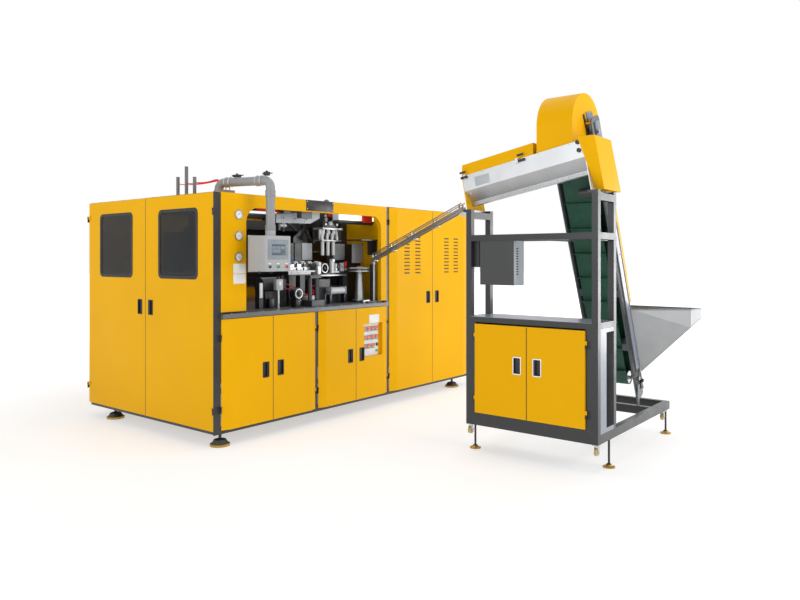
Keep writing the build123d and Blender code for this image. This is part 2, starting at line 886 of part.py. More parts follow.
# Cleated belt elevator, leaning over the trough
lean = math.radians(lean_deg)
up_x, up_z = -math.sin(lean), math.cos(lean)
head_x = tail_x + elevator_length * up_x
head_z = tail_z + elevator_length * up_z
elevator_far = elevator_near + elevator_width
inner_near = elevator_near + plate_thickness
inner_far = elevator_far - plate_thickness


def elevator_plane(y):
    """Local x points to the carrying side, local y up along the belt."""
    return Plane(
        origin=(tail_x, y, tail_z), x_dir=(math.cos(lean), 0, math.sin(lean)), z_dir=(0, -1, 0)
    )


belt_top = pulley_radius + pulley_clearance
side_plates = []
for y in (inner_near, elevator_far):
    with BuildPart() as plate:
        with BuildSketch(elevator_plane(y)):
            with Locations((0, (elevator_length + plate_end - leg_length) / 2)):
                RectangleRounded(plate_width, elevator_length + plate_end + leg_length, 40)
            with Locations((0, 0), (0, elevator_length)):
                Circle(shaft_radius + slide_clearance, mode=Mode.SUBTRACT)
        extrude(amount=plate_thickness)
    side_plates.append(plate.part)
for share in (0.15, 0.38, 0.61, 0.84):
    with BuildPart() as bed:
        with BuildSketch(elevator_plane(inner_far)):
            with Locations((0, share * elevator_length)):
                Rectangle(2 * (belt_top - 0.3), 60)
        extrude(amount=inner_far - inner_near)
    side_plates.append(bed.part)
# Feet on the cradle rail and braces to the loader's mid rail
brace_end = head_x + (mid_rail_top - head_z) * -math.tan(lean)
for y0, y1 in ((elevator_near - 10, elevator_near), (elevator_far, elevator_far + 10)):
    side_plates.append(block(cradle_x, cradle_x + tube, y0, y1, lower, tail_z - 50))
    side_plates.append(block(loader_right, brace_end + 40, y0, y1, mid, mid_rail_top - 8))
gather("elevator_frame", side_plates)

belt_near = belt_y - belt_width / 2
belt_far = belt_y + belt_width / 2
outer = belt_top + belt_thickness
with BuildPart() as belt_loop:
    with BuildSketch(elevator_plane(belt_far)):
        with Locations((0, elevator_length / 2)):
            SlotCenterToCenter(elevator_length, 2 * outer, rotation=90)
            SlotCenterToCenter(elevator_length, 2 * belt_top, rotation=90, mode=Mode.SUBTRACT)
    extrude(amount=belt_width)
with BuildPart() as cleats:
    with BuildSketch(elevator_plane(belt_far)):
        with Locations((0, elevator_length / 2)):
            with GridLocations(2 * outer + cleat_height, elevator_length / cleat_count, 2,
                               cleat_count):
                Rectangle(cleat_height, cleat_thickness)
    extrude(amount=belt_width)
gather("elevator_belt", [belt_loop.part, cleats.part])

for name, x, z in (("head_pulley", head_x, head_z), ("tail_pulley", tail_x, tail_z)):
    with BuildPart() as pulley:
        pin((x, belt_near + 4, z), (x, belt_far - 4, z), pulley_radius)
        pin((x, elevator_near - 18, z), (x, elevator_far + 18, z), shaft_radius)
        with Locations(Location((x, elevator_near - 18, z), (90, 0, 0))):
            Box(8, 8, 8)
    save(pulley.part, name)

# Gear motor on a bracket under the trough
motor_z = 1960
motor_x = head_x + (motor_z - head_z) * -math.tan(lean) - 150
with BuildPart() as elevator_motor:
    bar(motor_x - 45, motor_x + 160, elevator_near - 10, elevator_near, motor_z - 40, motor_z + 40)
    pin((motor_x, elevator_near, motor_z), (motor_x, elevator_near + 130, motor_z), 36)
    pin((motor_x, elevator_near + 130, motor_z), (motor_x, elevator_near + 150, motor_z), 30)
save(elevator_motor.part, "elevator_motor")

# Flared hopper wrapped round the elevator's foot
hopper_y = (elevator_near + elevator_far) / 2
mouth_half = elevator_width / 2 + hopper_sheet
rim_front = hopper_rim_z - hopper_lip_front
rim_back = hopper_rim_z - hopper_lip_back


def hopper_corners(side, half_width):
    y = hopper_y + side * half_width
    y_side = hopper_y + side * (half_width - hopper_side_in)
    y_mouth = hopper_y + side * mouth_half
    return {
        "mouth": (hopper_mouth_x, y_mouth, hopper_rim_z),
        "side": (hopper_side_x, y_side, hopper_rim_z),
        "back": (hopper_back_x, y, hopper_rim_z),
        "back_low": (hopper_back_x, y, rim_back),
        "side_low": (hopper_side_x, y_side, rim_front),
        "foot": (hopper_foot_x, y_mouth, hopper_foot_z),
    }


def panel(*points):
    return Face(Wire.make_polygon([Vector(*p) for p in points], close=True))


n = hopper_corners(-1, hopper_half_near)
f = hopper_corners(1, hopper_half_far)
panels = []
for c in (n, f):
    panels.append(panel(c["mouth"], c["side_low"], c["foot"]))
    panels.append(panel(c["mouth"], c["side"], c["side_low"]))
    panels.append(panel(c["side"], c["back"], c["back_low"], c["side_low"]))
    panels.append(panel(c["foot"], c["side_low"], c["back_low"]))
panels.append(panel(n["foot"], n["back_low"], f["back_low"], f["foot"]))
panels.append(panel(n["back"], f["back"], f["back_low"], n["back_low"]))
panels.append(panel(n["mouth"], n["foot"], f["foot"], f["mouth"]))
panels.append(panel(n["mouth"], n["side"], n["back"], f["back"], f["side"], f["mouth"]))
hopper_body = Solid(Shell(panels))
with BuildPart() as hopper:
    add(hopper_body)
    open_top = hopper.faces().sort_by(Axis.Z)[-1]
    open_front = hopper.faces().filter_by(
        lambda face: abs(face.normal_at().Y) < 0.01 and face.normal_at().X < -0.5
    )
    offset(amount=-hopper_sheet, openings=[open_top, open_front[0]])
    # Flanges along the elevator's side plates
    for y in (hopper_y - mouth_half, hopper_y + mouth_half - hopper_sheet):
        with BuildSketch(Plane.XZ.offset(-y)) as flange:
            with BuildLine():
                Polyline(
                    (hopper_mouth_x - hopper_wing, hopper_rim_z),
                    (hopper_mouth_x + 4, hopper_rim_z),
                    (hopper_foot_x + 4, hopper_foot_z + 8),
                    (hopper_foot_x - hopper_wing, hopper_foot_z + 8),
                    close=True,
                )
            make_face()
        extrude(flange.sketch, amount=-hopper_sheet)
save(hopper.part, "hopper")

# Discharge dome over the elevator's head
dome_x = head_x - dome_out
dome_z = head_z + dome_rise
dome_skirt_z = dome_z - dome_skirt
with BuildPart() as discharge_cover:
    with BuildSketch(Plane.XZ.offset(-dome_near)) as dome:
        with Locations((dome_x, dome_z)):
            Circle(dome_radius)
            Rectangle(2 * dome_radius, dome_radius, align=(Align.CENTER, Align.MAX),
                      mode=Mode.SUBTRACT)
        with Locations((dome_x - dome_radius / 2, dome_z)):
            Rectangle(dome_radius, dome_z - dome_skirt_z, align=(Align.CENTER, Align.MAX))
    extrude(amount=-(dome_far - dome_near))
    lower_faces = discharge_cover.faces().filter_by(Plane.XY)
    inner_wall = discharge_cover.faces().filter_by(Plane.YZ).sort_by(Axis.X)[-1]
    offset(amount=-sheet, openings=[*lower_faces, inner_wall])
    # The outer side reaches down into the trough
    bar(dome_x - dome_radius, dome_x - dome_radius + sheet, dome_near, dome_far,
        dome_z - dome_side_skirt, dome_skirt_z + 1)
    # Bosses against the side plates, and a hole for the shaft
    for y0, y1 in ((inner_near, dome_near + 1), (dome_far - 1, inner_far)):
        pin((head_x - 26, y0, head_z + 70), (head_x - 26, y1, head_z + 70), 8)
        pin((head_x - 82, y0, head_z + 50), (head_x - 82, y1, head_z + 50), 8)
    pin((head_x, dome_near - 1, head_z), (head_x, dome_far + 1, head_z), shaft_radius + 5,
        Mode.SUBTRACT)

# Folded cover over the belt's carrying side, seated on the side plates' edges
belt_cover = []
cover_seat = plate_width / 2
cover_edge = cover_seat + cover_rise
for y, x0, x1, wide in (
    (elevator_near + sheet, cover_seat, cover_edge - sheet, sheet),
    (elevator_far, cover_seat, cover_edge - sheet, sheet),
    (elevator_far, cover_edge - sheet, cover_edge, elevator_width),
):
    with BuildPart() as fold:
        with BuildSketch(elevator_plane(y)):
            with Locations(((x0 + x1) / 2, (cover_low + cover_high) / 2)):
                Rectangle(x1 - x0, cover_high - cover_low)
        extrude(amount=wide)
    belt_cover.append(fold.part)
gather("discharge_cover", [discharge_cover.part, *belt_cover])

# Aligner trough: five folded strips, a rail below, and an end plate at each end
slope_way = (0, -math.cos(math.radians(trough_slope_deg)), math.sin(math.radians(trough_slope_deg)))


wall_z = trough_low_z + trough_wall


def on_slope(x, z, along):
    """A point square to the trough's slope, at a distance along it from the low end.

    The height is the one it would have on a level trough at the low end.
    """
    rise = z - wall_z
    return (
        x,
        trough_low_y + along * slope_way[1] + rise * slope_way[2],
        wall_z + along * slope_way[2] - rise * slope_way[1],
    )


def slope_plane(along):
    return Plane(origin=on_slope(0, wall_z, along), x_dir=(1, 0, 0), z_dir=slope_way)


def slanted(points, start, length):
    """A section square to the slope, drawn out along it from the given distance."""
    with BuildPart() as strip:
        with BuildSketch(slope_plane(start)) as section:
            with BuildLine():
                Polyline(*[(x, z - wall_z) for x, z in points], close=True)
            make_face()
        extrude(section.sketch, amount=length)
    return strip.part


under_z = trough_low_z - trough_slant
fold = 0.414 * sheet
tl, tr = trough_left, trough_right
sl, sr = trough_left + trough_slant, trough_right - trough_slant
strips = [
    [(tl, wall_z), (tl, trough_low_z), (tl + sheet, trough_low_z + fold), (tl + sheet, wall_z)],
    [(tl, trough_low_z), (sl, under_z), (sl + fold, under_z + sheet),
     (tl + sheet, trough_low_z + fold)],
    [(sl, under_z), (sr, under_z), (sr - fold, under_z + sheet), (sl + fold, under_z + sheet)],
    [(tr, trough_low_z), (sr, under_z), (sr - fold, under_z + sheet),
     (tr - sheet, trough_low_z + fold)],
    [(tr, wall_z), (tr, trough_low_z), (tr - sheet, trough_low_z + fold), (tr - sheet, wall_z)],
    [(sl, under_z), (sl, under_z - 30), (sl + 34, under_z - 30), (sl + 34, under_z)],
]
strip_length = trough_length - 2 * trough_plate
trough_parts = [slanted(points, trough_plate, strip_length) for points in strips]
roller_x = ((tl + tr) / 2 - roller_spacing / 2, (tl + tr) / 2 + roller_spacing / 2)
roller_z = wall_z - roller_drop
roller_shaft = 10
# End plates, cut level at their feet where they stand on the saddles
end_plates = []
for start, foot_z in ((0, far_post_top + saddle),
                      (trough_length - trough_plate, near_post_top + saddle)):
    deep = wall_z + start * slope_way[2] - foot_z + 60
    with BuildPart() as end_plate:
        add(slanted([(tl, wall_z - deep), (tr, wall_z - deep), (tr, wall_z), (tl, wall_z)],
                    start, trough_plate))
        middle_y = trough_low_y + start * slope_way[1]
        bar(tl - 10, tr + 10, middle_y - 200, middle_y + 100, foot_z - 200, foot_z,
            Mode.SUBTRACT)
        for x in roller_x:
            pin(on_slope(x, roller_z, -30), on_slope(x, roller_z, trough_length + 30),
                roller_shaft + slide_clearance, Mode.SUBTRACT)
    end_plates.append(end_plate.part)
trough_parts.append(end_plates[1])
# Bracket on the far rail for the chute
bracket_face = loader_far + trough_plate
trough_parts.append(block(tl + 40, tr - 20, loader_far, bracket_face, far_post_top - 38,
                          far_post_top + saddle))

# Hood hinges on the outer wall
hood_axis_x = tl - 7
hood_axis_z = wall_z + 6
hood_marks = (0.03 * hood_length, 0.77 * hood_length)
hood_gap = 0.5


def hood_plane(along):
    return Plane(origin=on_slope(hood_axis_x, hood_axis_z, along), x_dir=(1, 0, 0),
                 z_dir=slope_way)


for along in hood_marks:
    with BuildPart(hood_plane(along)) as knuckle:
        rod(0, 0, 0, 20, 5)
        bar(-4, 7, -34, 0, 0, 20)
        rod(0, 0, 0, 36, pin_radius)
    trough_parts.append(knuckle.part)
gather("aligner_trough", trough_parts)

for name, x in (("aligner_roller_left", roller_x[0]), ("aligner_roller_right", roller_x[1])):
    with BuildPart() as roller:
        pin(on_slope(x, roller_z, 18), on_slope(x, roller_z, trough_length - 18), roller_radius)
        pin(on_slope(x, roller_z, -12), on_slope(x, roller_z, trough_length - 3), roller_shaft)
        pin(on_slope(x, roller_z, -12), on_slope(x, roller_z, -4), 17)
    save(roller.part, name)

with BuildPart() as trough_hood:
    with BuildSketch(slope_plane(0)) as section:
        with BuildLine():
            crown = hood_gap + hood_height
            Polyline(
                (tl, hood_gap), (tl + 30, crown), (tl + 130, crown), (tr, hood_gap),
                close=True,
            )
        make_face()
    extrude(section.sketch, amount=hood_length)
    offset(amount=-sheet,
           openings=trough_hood.faces().sort_by(lambda face: face.normal_at().Z)[0])
    for along in hood_marks:
        a = on_slope(hood_axis_x, hood_axis_z, along + 20 + knuckle_gap)
        b = on_slope(hood_axis_x, hood_axis_z, along + 42)
        middle = hood_plane(along + 31 + knuckle_gap / 2)
        pin(a, b, 5)
        with Locations(middle.location * Location((6, 0.5, 0))):
            Box(12, 9, 22 - knuckle_gap)
        pin(a, on_slope(hood_axis_x, hood_axis_z, along + 38), pin_radius + pin_clearance,
            Mode.SUBTRACT)
save(trough_hood.part, "trough_hood")

# Slanted cover over the trough's head end
with BuildPart() as head_cover:
    with BuildSketch(Plane.XZ.offset(-trough_high_y - 5)) as slant:
        with BuildLine():
            Polyline(
                (left + 1132, 2300), (left + 1419, 2300), (left + 1609, 1950),
                (left + 1305, 1950), close=True,
            )
        make_face()
    extrude(slant.sketch, amount=trough_high_y + 5 - loader_near)
    # The inner side lies against the trough's end plate
    with Locations(slope_plane(trough_length).location):
        Box(4 * trough_length, 2 * trough_length, trough_length,
            align=(Align.CENTER, Align.CENTER, Align.MAX), mode=Mode.SUBTRACT)
    offset(amount=-sheet, openings=head_cover.faces().sort_by(Axis.Z)[0])
gather("head_cover", [head_cover.part, end_plates[0]])

# Switch box under the loader's rail and a small one on its far post
with BuildPart() as control_box:
    bar(left + 1200, left + 1353, front - 1950, front - 1662, 1273, mid)
    bar(post_in, post_in + 62, front - 1628, front - 1545, 1405, mid)
save(control_box.part, "control_box")

# Chute from the trough's low end down into the bay
stand_top = 1415
chute_way = Vector(
    chute_head_x - chute_foot_x, chute_head_y - chute_foot_y, chute_head_z - chute_foot_z
)
chute_length = chute_way.length
chute_side = Vector(-chute_way.Y, chute_way.X, 0).normalized()
chute_plane = Plane(
    origin=(chute_foot_x, chute_foot_y, chute_foot_z),
    x_dir=chute_way,
    z_dir=chute_way.cross(chute_side),
)
chute_in = chute_gap / 2
chute_out = chute_in + chute_rail_thickness
tie_length = 60
tie_marks = [i * (chute_length - tie_length) / 4 for i in range(5)]


def chute_block(x0, x1, y0, y1, z0, z1):
    with BuildPart(chute_plane) as piece:
        bar(x0, x1, y0, y1, z0, z1)
    return piece.part


chute = []
for y0, y1 in ((-chute_out, -chute_in), (chute_in, chute_out)):
    chute.append(chute_block(0, chute_length, y0, y1, 0, chute_rail_height))
    chute.append(chute_block(0, chute_length, y0, y1, guard_rise, guard_rise + 8))
    for mark in tie_marks:
        chute.append(chute_block(mark + 20, mark + 34, y0, y1, chute_rail_height, guard_rise))
for mark in tie_marks[1:4]:
    chute.append(chute_block(mark, mark + tie_length, -chute_out, chute_out, -10, 0))
with BuildPart() as lower_hanger:
    add(chute_block(0, tie_length, -chute_out, chute_out, -10, 0))
    bar(left + 1942, left + 1980, front + 42, front + 66, stand_top, stand_top + 20)
with BuildPart() as upper_hanger:
    add(chute_block(tie_marks[4], chute_length, -chute_out, chute_out, -10, 0))
    bar(left + 1354, left + 1390, bracket_face, front - 1396, 1806, 1844)
chute.extend([lower_hanger.part, upper_hanger.part])
gather("chute_rails", chute)

# Stand under the chute, back panel, funnel shelf and its bracket
wall_face = bay_right - sheet
stand_plate = table_top + 15
gather("chute_stand", [
    block(left + 1868, wall_face - 3, front + 34, front + 352, table_top, stand_plate),
    block(left + 1938, left + 1984, front + 38, front + 82, stand_plate, stand_top),
    block(left + 1873, wall_face - 3, front + 340, front + 346, stand_plate, 1445),
    block(left + 1790, wall_face, front + 60, front + 330, 1647, 1660),
    block(left + 1960, wall_face, front + 120, front + 132, 1506, 1647),
])

# Infeed star on its pedestal
hub_top = star_z - star_thickness / 2 - 2
star_shaft = 12
with BuildPart() as star_base:
    rod(star_x, star_y, stand_plate, stand_plate + 12, 70)
    with Locations((star_x, star_y, (stand_plate + 12 + hub_top - 24) / 2)):
        Cone(52, 34, hub_top - 24 - stand_plate - 12)
    rod(star_x, star_y, hub_top - 24, hub_top - 12, star_radius + 8)
    rod(star_x, star_y, hub_top - 12, hub_top, 28)
    rod(star_x, star_y, hub_top - 70, hub_top + 1, star_shaft + slide_clearance, Mode.SUBTRACT)
save(star_base.part, "star_base")

star_low = star_z - star_thickness / 2
star_high = star_z + star_thickness / 2
star_core = star_radius - pocket_radius - 1
with BuildPart() as star_disc:
    rod(star_x, star_y, star_low, star_high, star_core)
    rod(star_x, star_y, hub_top + 0.3, star_z + 22, 28)
    rod(star_x, star_y, hub_top - 66, star_z, star_shaft)
with BuildPart() as star_teeth:
    rod(star_x, star_y, star_low, star_high, star_radius)
    rod(star_x, star_y, star_low, star_high, star_core, Mode.SUBTRACT)
    with Locations((star_x, star_y, star_z)):
        with PolarLocations(star_radius, pocket_count):
            Cylinder(pocket_radius, 2 * star_thickness, mode=Mode.SUBTRACT)
gather("infeed_star", [star_disc.part, star_teeth.part])

# Transfer bed with its slide rail and the shield plates behind it
rail_x0 = bed_left + 30
rail_x1 = bed_right - 10
rail_top = bed_top + slide_rail_height
shield_front = bed_back - 18
shield_back = bed_back - 12
bed_under = bed_top - bed_thickness
shield_bar = 1530
bed = [
    block(bed_left, bed_right, bed_front, bed_back, bed_under, bed_top),
    block(rail_x0, rail_x1, slide_y - slide_rail_width / 2, slide_y + slide_rail_width / 2,
          bed_top, rail_top),
    block(left + 1190, wall_face, shield_back, bed_back, shield_bar, shield_bar + 15),
]
for x0 in (bed_left, left + 1200, bed_right - bed_leg):
    bed.append(block(x0, x0 + bed_leg, bed_front, bed_front + bed_leg, table_top, bed_under))
    bed.append(block(x0, x0 + bed_leg, bed_back - bed_leg, bed_back, table_top, bed_under))
for x0 in (left + 1225, left + 1335, left + 1780):
    bed.append(block(x0, x0 + 15, shield_back, bed_back, bed_top, shield_bar))
shields = (
    (left + 1190, left + 1260),
    (left + 1275, left + 1403),
    (left + 1715, left + 1852),
    (left + 1972, left + 2090),
)
for x0, x1 in shields:
    bed.append(block(x0, x1, shield_front, shield_back, 1437, 1617))
gather("transfer_bed", bed)

# Carriage of preform grippers
jaw_z = 1420
grip_pitch = 90
slider_top = rail_top + 28
with BuildPart() as slider:
    half = slide_rail_width / 2 + 0.3
    end = carriage_left + carriage_length
    bar(carriage_left, end, slide_y - 42, slide_y + 42, bed_top + 3, slider_top)
    bar(carriage_left - 1, end + 1, slide_y - half, slide_y + half, bed_top, rail_top + 0.3,
        Mode.SUBTRACT)
grippers = [slider.part]
for i in range(grip_count):
    x = carriage_left + 60 + i * grip_pitch
    grippers.append(block(x - 26, x + 26, slide_y - 20, slide_y + 30, slider_top, jaw_z + 14))
    for side in (-1, 1):
        x0, x1 = sorted((x + side * 13, x + side * 22))
        grippers.append(block(x0, x1, slide_y - 78, slide_y - 20, jaw_z, jaw_z + 12))
gather("transfer_carriage", grippers)

# Head frame over the mechanism, with the fixed press cylinders and the moving plate
head_y = front + 480
beam_z = 1880
with BuildPart() as truss:
    with BuildSketch(Plane.XZ.offset(-(head_y + 20))):
        with BuildLine():
            Polyline((left + 1190, 1835), (left + 1405, 1835), (left + 1405, 1690), close=True)
        make_face()
        with BuildLine():
            Polyline((left + 1262, 1815), (left + 1385, 1815), (left + 1385, 1732), close=True)
        make_face(mode=Mode.SUBTRACT)
    extrude(amount=-20)
gather("head_frame", [
    block(left + 1405, left + 1465, head_y, head_y + 60, table_top, beam_z),
    block(left + 1300, wall_face, head_y, head_y + 60, beam_z, beam_z + 60),
    block(left + 1480, left + 1492, front + 290, head_y, 1770, beam_z + 40),
    block(left + 1748, left + 1760, front + 290, head_y, 1770, beam_z + 40),
    truss.part,
])

fixed_low = 1752
fixed_high = 1770
sleeve_low = 1664
plate_high = moving_plate_z
plate_low = plate_high - 12
rod_spots = (left + 1545, left + 1620, left + 1695)
guide_spots = (left + 1507, left + 1733)
guide_radius = 12
piston_radius = 9
with BuildPart() as press_cylinders:
    bar(left + 1480, left + 1760, press_y - 68, press_y + 68, fixed_low, fixed_high)
    for x in rod_spots:
        rod(x, press_y, fixed_high, 1925, 32)
        rod(x, press_y, fixed_low - 62, fixed_low, 24)
        rod(x, press_y, fixed_low - 63, fixed_low, piston_radius + slide_clearance,
            Mode.SUBTRACT)
    for x in guide_spots:
        rod(x, press_y, sleeve_low, fixed_low, 20)
        rod(x, press_y, sleeve_low - 1, fixed_low, guide_radius + slide_clearance, Mode.SUBTRACT)
save(press_cylinders.part, "press_cylinders")

with BuildPart() as press_plate:
    bar(left + 1482, left + 1758, press_y - 50, press_y + 50, plate_low, plate_high)
    for x in rod_spots:
        rod(x, press_y, plate_high, fixed_low - 6, piston_radius)
        rod(x, press_y, 1500, plate_low, 8)
        rod(x, press_y, 1590, plate_low, 15)
    for x in guide_spots:
        rod(x, press_y, plate_high, fixed_low - 4, guide_radius)
save(press_plate.part, "press_plate")

# Drives standing on the table
with BuildPart() as drive_units:
    bar(left + 735, left + 875, front + 250, front + 370, table_top, 1180)
    pin((left + 715, front + 310, 1238), (left + 905, front + 310, 1238), 66)
    bar(left + 905, left + 985, front + 255, front + 365, table_top, 1285)
    bar(left + 655, left + 700, front + 235, front + 290, table_top, 1260)
    bar(left + 1108, left + 1268, front + 50, front + 180, table_top, 1092)
    for x in (left + 1145, left + 1230):
        rod(x, front + 115, 1092, 1300, 19)
    bar(left + 1118, left + 1258, front + 80, front + 150, 1292, 1318)
    rod(left + 1188, front + 115, 1318, 1348, 22)
    bar(left + 1450, left + 1596, front + 300, front + 420, table_top, 1270)
    bar(left + 1622, left + 1780, front + 315, front + 400, table_top, 1200)
save(drive_units.part, "drive_units")

# Air cylinders and manifold on the roof, valves behind the beam and on the bay wall
manifold_top = roof_z + 66
port_x = (left + 412, left + 452, left + 492)
stack_x = left + 300
stack_y = (front + 907, front + 781, front + 663)
stack_tops = (2192, 2275, 2176)
with BuildPart() as air_valves:
    bar(left + 385, left + 520, front + 395, front + 465, roof_z, manifold_top)
    for y, top in zip(stack_y, stack_tops):
        rod(stack_x, y, roof_z, roof_z + 14, 26)
        rod(stack_x, y, roof_z, top, 15)
    with Locations((left + 1268, front + 25, frame_top)):
        Cylinder(24, 12, align=(Align.CENTER, Align.CENTER, Align.MIN))
    with Locations((left + 1268, front + 25, frame_top + 12)):
        Sphere(20, arc_size1=0)
    bar(left + 980, left + 1110, front + rail, front + 112, 1830, frame_top)
    bar(left + 770, left + 850, front + rail, front + 96, 1862, frame_top - 20)
    bar(wall_face - 48, wall_face, front + 195, front + 330, 1833, 1880)
save(air_valves.part, "air_valves")


def bends(points):
    """A bend radius for every inner point, from the shorter run beside it."""
    radii = []
    for i in range(1, len(points) - 1):
        a = Vector(*points[i]) - Vector(*points[i - 1])
        b = Vector(*points[i + 1]) - Vector(*points[i])
        turn = math.radians(a.get_angle(b))
        radii.append(0.45 * min(a.length, b.length) / math.tan(turn / 2))
    return radii


hose_radius = 4
hose_routes = []
for x, y in zip(port_x, reversed(stack_y)):
    hose_routes.append([
        (stack_x + 15, y, 2130),
        (x, y, 2130),
        (x, front + 430, 2168),
        (x, front + 430, manifold_top),
    ])
for drop, aside in ((0, 0), (44, 22)):
    hose_routes.append([
        (left + 985, front + 290 - aside, 1240 - drop),
        (left + 1076, front + 290 - aside, 1240 - drop),
        (left + 1170, front + 212 - aside, 1130 - drop),
        (left + 1330, front + 225 - aside, 1150 - drop),
        (left + 1346, front + 340 + aside, 1210 - drop),
        (left + 1450, front + 340 + aside, 1210 - drop),
    ])
hoses = []
for points in hose_routes:
    radii = bends(points)
    print("hose bends", [round(r, 1) for r in radii])
    with BuildPart() as hose:
        with BuildLine() as route:
            FilletPolyline(*points, radius=radii)
        with BuildSketch(Plane(route.line @ 0, z_dir=route.line % 0)) as bore:
            Circle(hose_radius)
        sweep(bore.sketch, path=route.line)
    hoses.append(hose.part)
gather("air_hoses", hoses)

# Blow clamp on the deck behind the gauge panel
clamp_x = (clamp_rear_x, clamp_fixed_x)
tie_spots = []
for dy in (-tie_spread_y, tie_spread_y):
    for dz in (-tie_spread_z, tie_spread_z):
        tie_spots.append((clamp_y + dy, clamp_z + dz))
half = clamp_width / 2
ram_radius = 32
clamp_high = clamp_z + clamp_height / 2
clamp_low = clamp_z - clamp_height / 2
bars = []
with BuildPart() as rear_plate:
    bar(clamp_rear_x, clamp_rear_x + clamp_plate, clamp_y - half, clamp_y + half, table_top,
        clamp_high)
    start = (clamp_rear_x - 1, clamp_y, clamp_z)
    finish = (clamp_rear_x + clamp_plate + 1, clamp_y, clamp_z)
    pin(start, finish, ram_radius + slide_clearance, Mode.SUBTRACT)
with BuildPart() as fixed_plate:
    bar(clamp_fixed_x, clamp_fixed_x + clamp_plate, clamp_y - half, clamp_y + half, table_top,
        clamp_high)
    bar(clamp_fixed_x - mould_depth, clamp_fixed_x, clamp_y - 105, clamp_y + 105,
        clamp_z - 150, clamp_z + 150)
bars.extend([rear_plate.part, fixed_plate.part])
for y, z in tie_spots:
    with BuildPart() as tie:
        pin((clamp_rear_x + clamp_plate, y, z), (clamp_fixed_x, y, z), tie_radius)
        for x0, x1 in ((clamp_rear_x - 26, clamp_rear_x),
                       (clamp_fixed_x + clamp_plate, clamp_fixed_x + clamp_plate + 26)):
            pin((x0, y, z), (x1, y, z), tie_radius + 12)
    bars.append(tie.part)
gather("clamp_frame", bars)

with BuildPart() as moving_platen:
    bar(platen_x, platen_x + clamp_plate, clamp_y - half, clamp_y + half, clamp_low, clamp_high)
    bar(platen_x + clamp_plate, platen_x + clamp_plate + mould_depth, clamp_y - 105,
        clamp_y + 105, clamp_z - 150, clamp_z + 150)
    pin((clamp_rear_x - 60, clamp_y, clamp_z), (platen_x, clamp_y, clamp_z), ram_radius)
    for y, z in tie_spots:
        pin((platen_x - 1, y, z), (platen_x + clamp_plate + 1, y, z),
            tie_radius + slide_clearance, Mode.SUBTRACT)
save(moving_platen.part, "moving_platen")

# Infrared oven on the deck: legs, tunnel and lamp banks
oven_floor = table_top + 145
oven_right = oven_left + oven_length
oven_back = oven_front + oven_depth
oven_roof = oven_floor + oven_height
skin = 12
oven = [
    block(oven_left, oven_right, oven_front, oven_back, oven_floor, oven_floor + skin),
    block(oven_left, oven_right, oven_front, oven_back, oven_roof - skin, oven_roof),
    block(oven_left, oven_right, oven_back - skin, oven_back, oven_floor + skin,
          oven_roof - skin),
    block(oven_left, oven_left + skin, oven_front, oven_back - skin, oven_floor + skin,
          oven_roof - skin),
    block(oven_right - skin, oven_right, oven_front, oven_back - skin, oven_floor + skin,
          oven_roof - skin),
    block(oven_left + 540, left + 2020, oven_front + 40, oven_back - 60, oven_roof,
          oven_roof + 86),
]
for x0 in (oven_left + 20, oven_right - 80):
    for y0 in (oven_front + 20, oven_back - 80):
        oven.append(block(x0, x0 + 60, y0, y0 + 60, table_top, oven_floor))
lamp_pitch = 52
with BuildPart() as lamps:
    for i in range(9):
        z = oven_floor + 70 + i * lamp_pitch
        y = oven_back - skin - 40
        pin((oven_left + skin, y, z), (oven_right - skin, y, z), 7)
oven.append(lamps.part)
gather("oven_unit", oven)

# Control gear on its mounting plate at the back of the electrical cabinet
rack_left = cabinet_left + 40
rack_right = right_post - 20
rack_face = bay_rear - 6
gear_count = 5
gear_rows = ((1560, 260, 150), (1180, 230, 170), (820, 200, 140), (330, 330, 210))
with BuildPart() as control_rack:
    bar(rack_left, rack_right, rack_face, bay_rear, floor_gap + 10, frame_top - 10)
    gear_pitch = (rack_right - rack_left - 140) / gear_count
    for z, height, deep in gear_rows:
        for i in range(gear_count):
            x = rack_left + 70 + i * gear_pitch
            bar(x, x + 0.78 * gear_pitch, rack_face - deep, rack_face, z, z + height)
save(control_rack.part, "control_rack")
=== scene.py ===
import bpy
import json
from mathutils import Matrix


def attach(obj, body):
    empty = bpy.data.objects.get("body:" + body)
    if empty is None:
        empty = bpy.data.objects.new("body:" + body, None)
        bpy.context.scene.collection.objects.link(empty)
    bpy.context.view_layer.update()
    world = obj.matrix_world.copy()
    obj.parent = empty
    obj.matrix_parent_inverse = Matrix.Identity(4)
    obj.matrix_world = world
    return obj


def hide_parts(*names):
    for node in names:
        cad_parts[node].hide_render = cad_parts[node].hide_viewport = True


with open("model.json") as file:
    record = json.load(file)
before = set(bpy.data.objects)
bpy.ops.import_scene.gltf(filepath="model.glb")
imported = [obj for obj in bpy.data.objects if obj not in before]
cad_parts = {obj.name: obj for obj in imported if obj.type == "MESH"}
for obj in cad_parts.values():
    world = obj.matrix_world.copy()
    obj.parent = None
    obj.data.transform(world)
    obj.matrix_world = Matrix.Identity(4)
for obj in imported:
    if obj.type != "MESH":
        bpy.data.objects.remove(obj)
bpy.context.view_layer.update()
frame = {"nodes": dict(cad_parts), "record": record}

import json
import math

import bmesh
import bpy
from mathutils import Matrix, Vector

MM = 0.001
UP = Vector((0, 0, 1))
FRONT = Vector((0, -1, 0))
LEFT = Vector((-1, 0, 0))
OUTWARD = Vector((0, 0, 1))  # in local axes whose z stands on a wall

